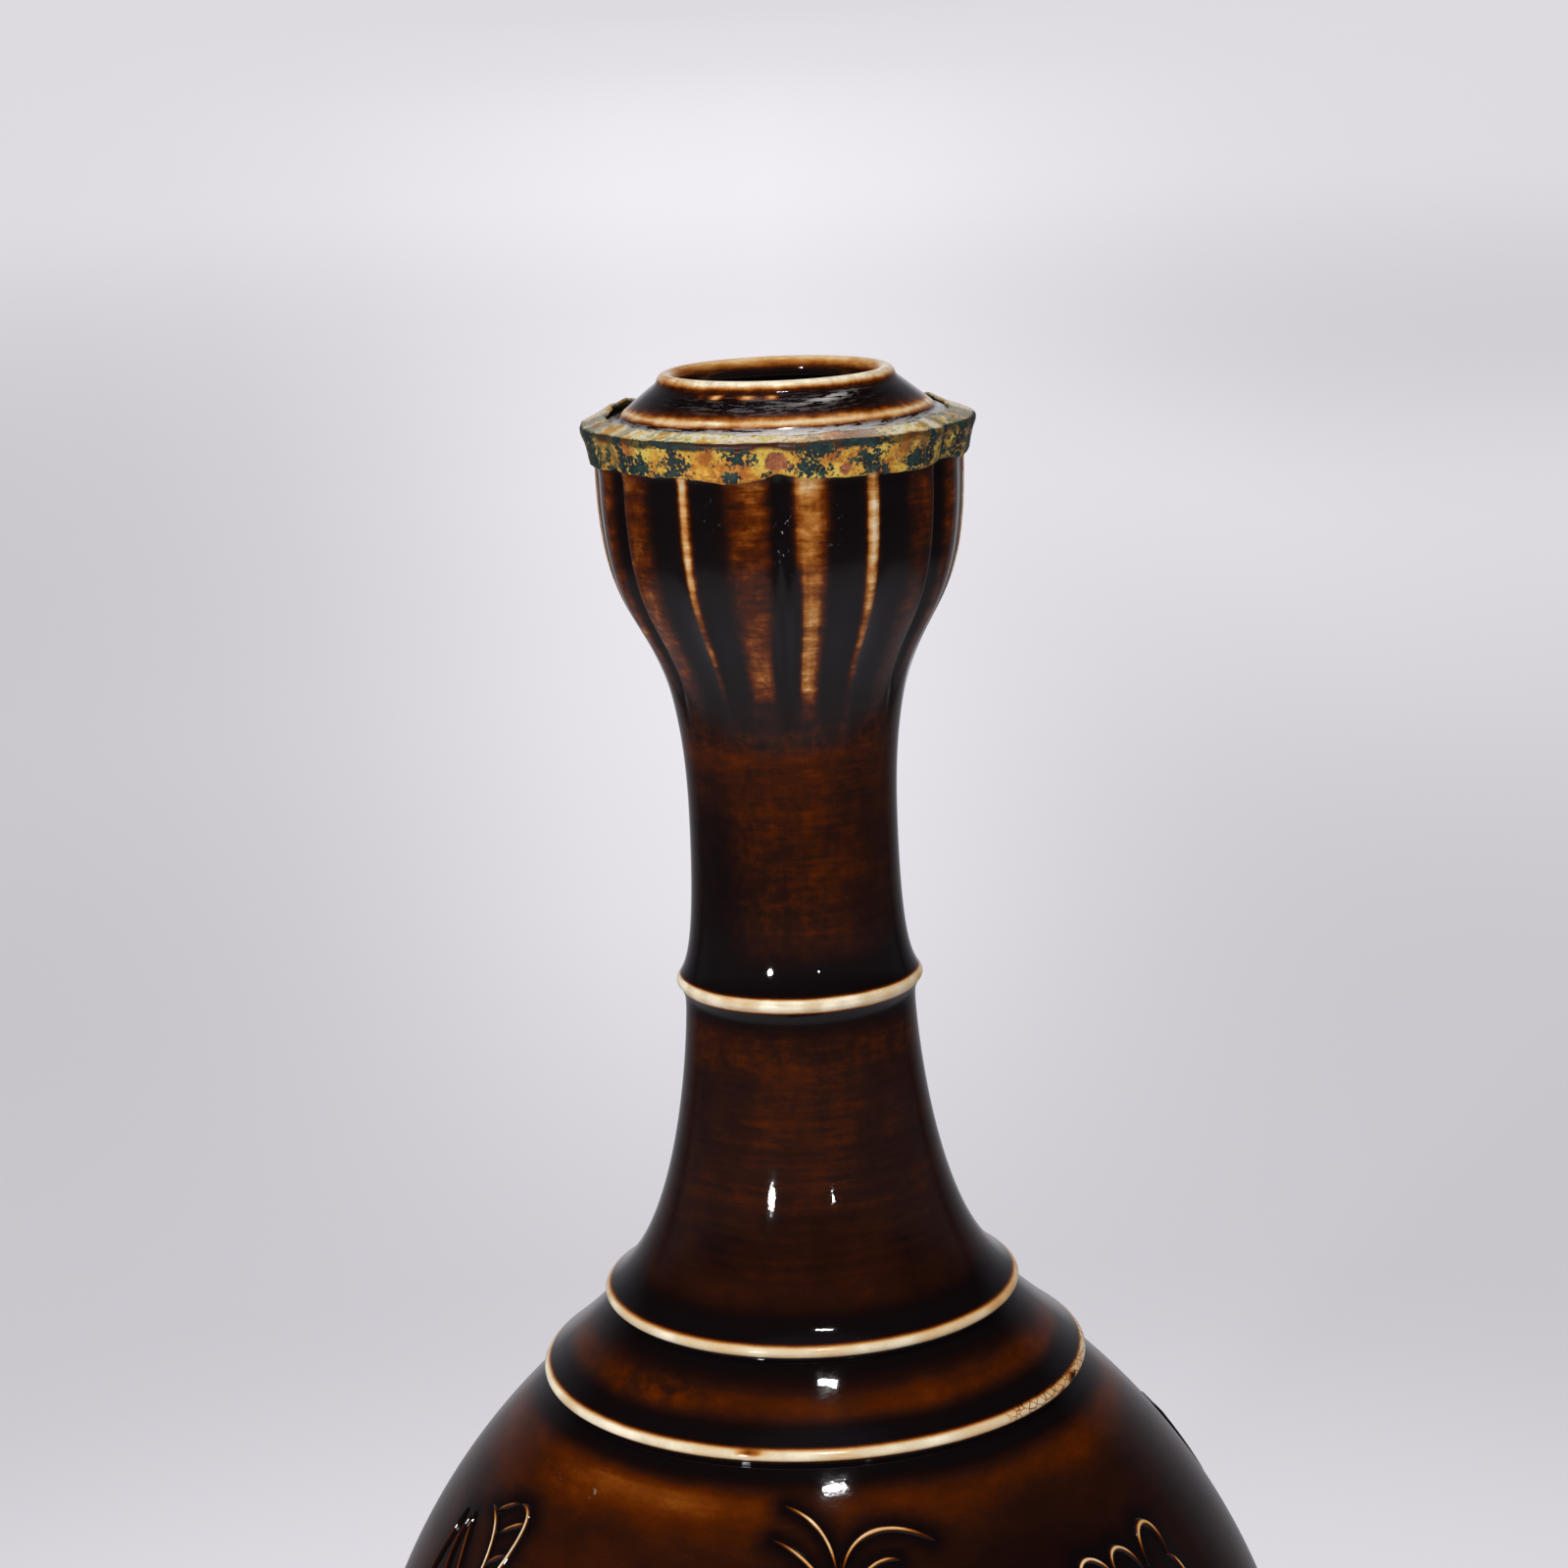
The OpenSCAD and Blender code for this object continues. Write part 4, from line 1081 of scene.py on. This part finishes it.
# Pale scuffs, which on the front of the ledge also paint a highlight
colour = mix(times(scuff_and_glint_lines, 0.95), colour, linear("#efe8e4"))
pitted = times(math_node("GREATER_THAN", streaks((1.25, 1.25, 1.1), 4.0, 0.7), 0.64), read("pits"))
colour = mix(pitted, colour, linear("#b5a9a4"))
bare_clay = read("bare")
colour = mix(bare_clay, colour, ramp(specks, [(0.35, "#b89a78"), (0.5, "#c9ad8a"), (0.7, "#8f745a")]))

ripple = plus(times(cells, 0.2), times(streaks((2.4, 2.4, 2.6), 1.0, 0.5), 0.12))
depth = plus(ripple, times(pitted, -1.5))
bumped = add("ShaderNodeBump", {"Height": depth, "Strength": 0.3, "Distance": 0.0001}).outputs[0]
roughness = plus(remap(cells, 0.3, 0.7, 0.025, 0.05), remap(thickness, 0, 0.2, 0.14, 0))
roughness = plus(roughness, times(plus(scuff_and_glint_lines, pitted), 0.3))
roughness = plus(roughness, times(bare_clay, 0.6))
coat = {"Base Color": colour, "Roughness": roughness, "Normal": bumped, "IOR": GLASS_IOR}
dress([pot, relief], glaze_material, coat)

# %% [markdown]
# ## Gilt copper
#
# The band was gilded copper. Where the gilding is whole it is a soft ochre gold, where it has worn
# the copper shows pink, and in the dents the metal has gone dark blue green. On the real band the
# three meet in fine specks, because corrosion starts from pin holes in the gilding.

# %% Colour of the band
band_material, tree = new_material("gilt_copper_worn")
at = add("ShaderNodeTexCoord").outputs["Object"]
fine_grain, blotch, mid_grain = noise(at, 2100), noise(at, 300), noise(at, 800, 2.0)


def gathered(name, grain, at_none, at_full, soft):
    """1 where the grain passes a limit, which falls from at_none to at_full as the number rises."""
    limit = remap(read(name), 0, 1, at_none, at_full)
    return remap(minus(grain, limit), -soft, soft)


GOLD = [(0.36, "#c06d22"), (0.44, "#dd9534"), (0.52, "#f4c04c"), (0.62, "#fbd962")]
OLIVE = [(0.35, "#352d20"), (0.46, "#6a5530"), (0.55, "#94703a"), (0.68, "#777048")]
PINK = [(0.35, "#9c5138"), (0.5, "#bb6c4a"), (0.65, "#cf8a52")]
RUBBED_AND_SHEEN = [(0.34, "#e0aa50"), (0.41, "#f4cf78"), (0.47, "#ffe9b4"), (0.54, "#fff8e8"), (0.66, "#f0e08a")]
DARK = [(0.4, "#0d2226"), (0.55, "#173234"), (0.7, "#2c4a3c")]
metal = mix(gathered("tarnish", mid_grain, 0.85, 0.45, 0.12), ramp(blotch, GOLD), ramp(mid_grain, OLIVE))
copper_grain = plus(blotch, part_of(mid_grain, 0.5))
metal = mix(gathered("copper", copper_grain, 0.95, 0.36, 0.06), metal, ramp(fine_grain, PINK))
# painted shade under the crease: reddish brown, nearly black to the left
crease_shade_colour = mix(read("crease_shade_left"), linear("#441309"), linear("#141716"))
metal = mix(read("crease_shade_line"), metal, crease_shade_colour)
# The flange is rubbed pale. Its near-white colours, strongest at the front, are a painted highlight
rubbed_and_sheen = ramp(plus(blotch, part_of(mid_grain, 0.6)), RUBBED_AND_SHEEN)
rubbed_and_sheen = mix(times(read("blush"), 0.8), rubbed_and_sheen, linear("#e6ab98"))
pale = read("flange")
metal = mix(pale, metal, rubbed_and_sheen)
corroded = gathered("teal", plus(fine_grain, part_of(mid_grain, 0.7)), 0.68, 0.37, 0.03)
corroded = math_node("MAXIMUM", corroded, math_node("GREATER_THAN", noise(at, 2600, 1.0), 0.69))
corroded = math_node("MAXIMUM", corroded, times(read("rim"), 0.8))
corroded = times(corroded, minus(1.0, times(pale, 0.5)))
print("band colours:", sum(map(len, (GOLD, OLIVE, PINK, RUBBED_AND_SHEEN, DARK))), "stops")

# %% Band material
band_roughness = minus(plus(0.38, times(corroded, 0.15)), times(pale, 0.22))
blows = minus(plus(noise(at, 420, 2.0), times(fine_grain, 0.35)), times(corroded, 0.25))
blows = times(blows, minus(1.0, times(pale, 0.7)))
hammered = add("ShaderNodeBump", {"Height": blows, "Strength": 0.6, "Distance": 0.0003}).outputs[0]
gilding = {
    "Base Color": mix(corroded, metal, ramp(mid_grain, DARK)),
    "Metallic": times(minus(1.0, corroded), 0.25),
    "Roughness": band_roughness,
    "Normal": hammered,
}
dress([band], band_material, gilding)

# %% [markdown]
# ## Table and light
#
# The photograph was taken on pale paper under two small lamps at the sides and one high in front.
# A glossy pot shows its surroundings: it mirrors the dark room in front of it and the pale paper
# behind it, which draws the light lines along its outline. The paper here is one large disc, so the
# vase stands on it from every side. Its own light and shade, such as the pool of light behind the
# vase, is a number on its points, worked out from where each point lies. Levels below are screen
# levels from 0 to 255.

# %% Paper
SPOKES = 144
PAPER_LEVEL, FAR_LEVEL = 198, 221
SKY_LIGHT = 0.64
POOL_REACH = [900, 1200, 1900, 2400, 3400, 7500, 12000, 25000]
POOL_LEVEL = [31, 32, 36, 33, 23, 17, 7, 0]
rings = np.concatenate([[1.0], np.geomspace(20, 40000, 74)])
turn_about, reach_out = np.meshgrid(np.arange(SPOKES) * 2 * np.pi / SPOKES, rings)
px, py = reach_out * np.sin(turn_about), reach_out * np.cos(turn_about)
sideways = px / np.maximum(py + 500, 200)
pool_of_light = bump(sideways, -0.013, 0.104) * ease(250, 900, py)
level = PAPER_LEVEL + 23 * ease(1200, 5500, reach_out) - 7 * (1 - ease(700, 1300, reach_out))
level += 19 * (1 - ease(240, 460, reach_out)) + 18 * ease(60, 330, px) * bump(py, 1700, 700)
level += np.interp(py, POOL_REACH, POOL_LEVEL) * pool_of_light


def paper_grey(level):
    """The paper's colour at this screen level: nearly neutral, with a little blue."""
    return to_linear(np.asarray(level, float)[..., None] / 255 + np.array([0.0, -0.008, 0.014]))


paper_points = np.stack([px, py, np.zeros_like(px)], -1).reshape(-1, 3)
ids = np.arange(len(paper_points)).reshape(len(rings), SPOKES)
paper_faces = [ids[0][::-1].tolist()]
for inner_row, outer_row in zip(ids[:-1], ids[1:]):
    paper_faces += stitch(outer_row, inner_row)
paper = new_mesh("paper", paper_points, paper_faces, {"shade": paper_grey(level).reshape(-1, 3)})
paper.visible_glossy = False

paper_material, tree = new_material("pale_seamless_paper")
shade = read("shade", "Color")
to_camera = add("ShaderNodeLightPath").outputs["Is Camera Ray"]
matt = {"Base Color": shade, "Roughness": 0.9, "Specular IOR Level": 0.0}
glow = {"Emission Color": shade, "Emission Strength": times(to_camera, 1 - SKY_LIGHT)}
dress([paper], paper_material, {**matt, **glow})

# %% Lamps
LAMP_DISTANCE = 1300.0
LAMP_TARGET = np.array([0, 0, 220])


def lamp(name, azimuth_deg, elevation_deg, size_mm, watts, tall=1.0, spread_deg=180):
    """An area lamp, by its azimuth from the front towards +X, its elevation and its width."""
    a, e = math.radians(azimuth_deg), math.radians(elevation_deg)
    away = np.array([sin(a) * cos(e), -cos(a) * cos(e), sin(e)])
    data = bpy.data.lights.new(name, "AREA")
    data.shape = "ELLIPSE"
    data.size, data.size_y = size_mm * MM, size_mm * tall * MM
    data.energy = watts
    data.spread = math.radians(spread_deg)
    side = np.cross([0, 0, 1.0], away)
    side /= np.linalg.norm(side)
    place_in_scene(name, data, (side, np.cross(away, side), away), LAMP_TARGET + LAMP_DISTANCE * away)


lamp("lamp_left", -30, 6.5, 90, 0.58, spread_deg=60)
lamp("lamp_right", 19.5, 7, 22, 0.03, spread_deg=60)
lamp("lamp_high", 10, 66.5, 150, 3.9, tall=0.07)
print("lamps:", len(bpy.data.lights))

# %% [markdown]
# Each kind of ray may see different surroundings. The camera sees a far level of grey, soft light
# comes evenly from all sides, and reflections see a made room: dark in front, pale paper behind the
# vase and dimmer paper on the table before it. The room is told by the direction alone, so it
# stays where it is when the camera moves.

# %% Surroundings
BEHIND = [(0.5, "#101012"), (0.6, "#303033"), (0.72, "#4f4f53"), (0.8, "#626166"), (0.87, "#767579")]
BEHIND += [(0.93, "#8a898e"), (1.0, "#dddbe0")]
BELOW = [(0.2, "#000000"), (0.42, "#848484"), (0.5, "#e4e4e4"), (0.62, "#ffffff")]
HAZE = [(0.12, "#47474b"), (0.24, "#2a2a2d"), (0.4, "#101012")]
world = bpy.data.worlds.new("studio")
bpy.context.scene.world = world
world.use_nodes = True
tree = world.node_tree
tree.nodes.clear()
seen = add("ShaderNodeLightPath").outputs
direction = add("ShaderNodeSeparateXYZ", {0: add("ShaderNodeTexCoord").outputs["Generated"]}).outputs


def towards(value, start, full):
    """0 up to start and 1 from full on, along a smooth step."""
    return remap(value, start, full, interpolation_type="SMOOTHSTEP")


level_haze = ramp(math_node("ABSOLUTE", direction["Z"], 0.0), HAZE)
front = mix(towards(direction["Z"], 0.93, 0.99), level_haze, linear("#4c4c57"))
room = mix(towards(direction["Y"], 0.45, 0.62), front, ramp(direction["Y"], BEHIND))
mirrored = mix(ramp(times(direction["Z"], -1.0), BELOW), room, linear("#96959b"))
soft_light = (SKY_LIGHT, SKY_LIGHT, SKY_LIGHT, 1)
plain = mix(seen["Is Glossy Ray"], soft_light, mirrored)
backdrop = mix(seen["Is Camera Ray"], plain, (*paper_grey(FAR_LEVEL).tolist(), 1))
background = add("ShaderNodeBackground", {"Color": backdrop, "Strength": 1.0})
add("ShaderNodeOutputWorld", {"Surface": background.outputs[0]})
bpy.context.scene.view_settings.view_transform = "Standard"
print("surroundings:", len(tree.nodes), "nodes")
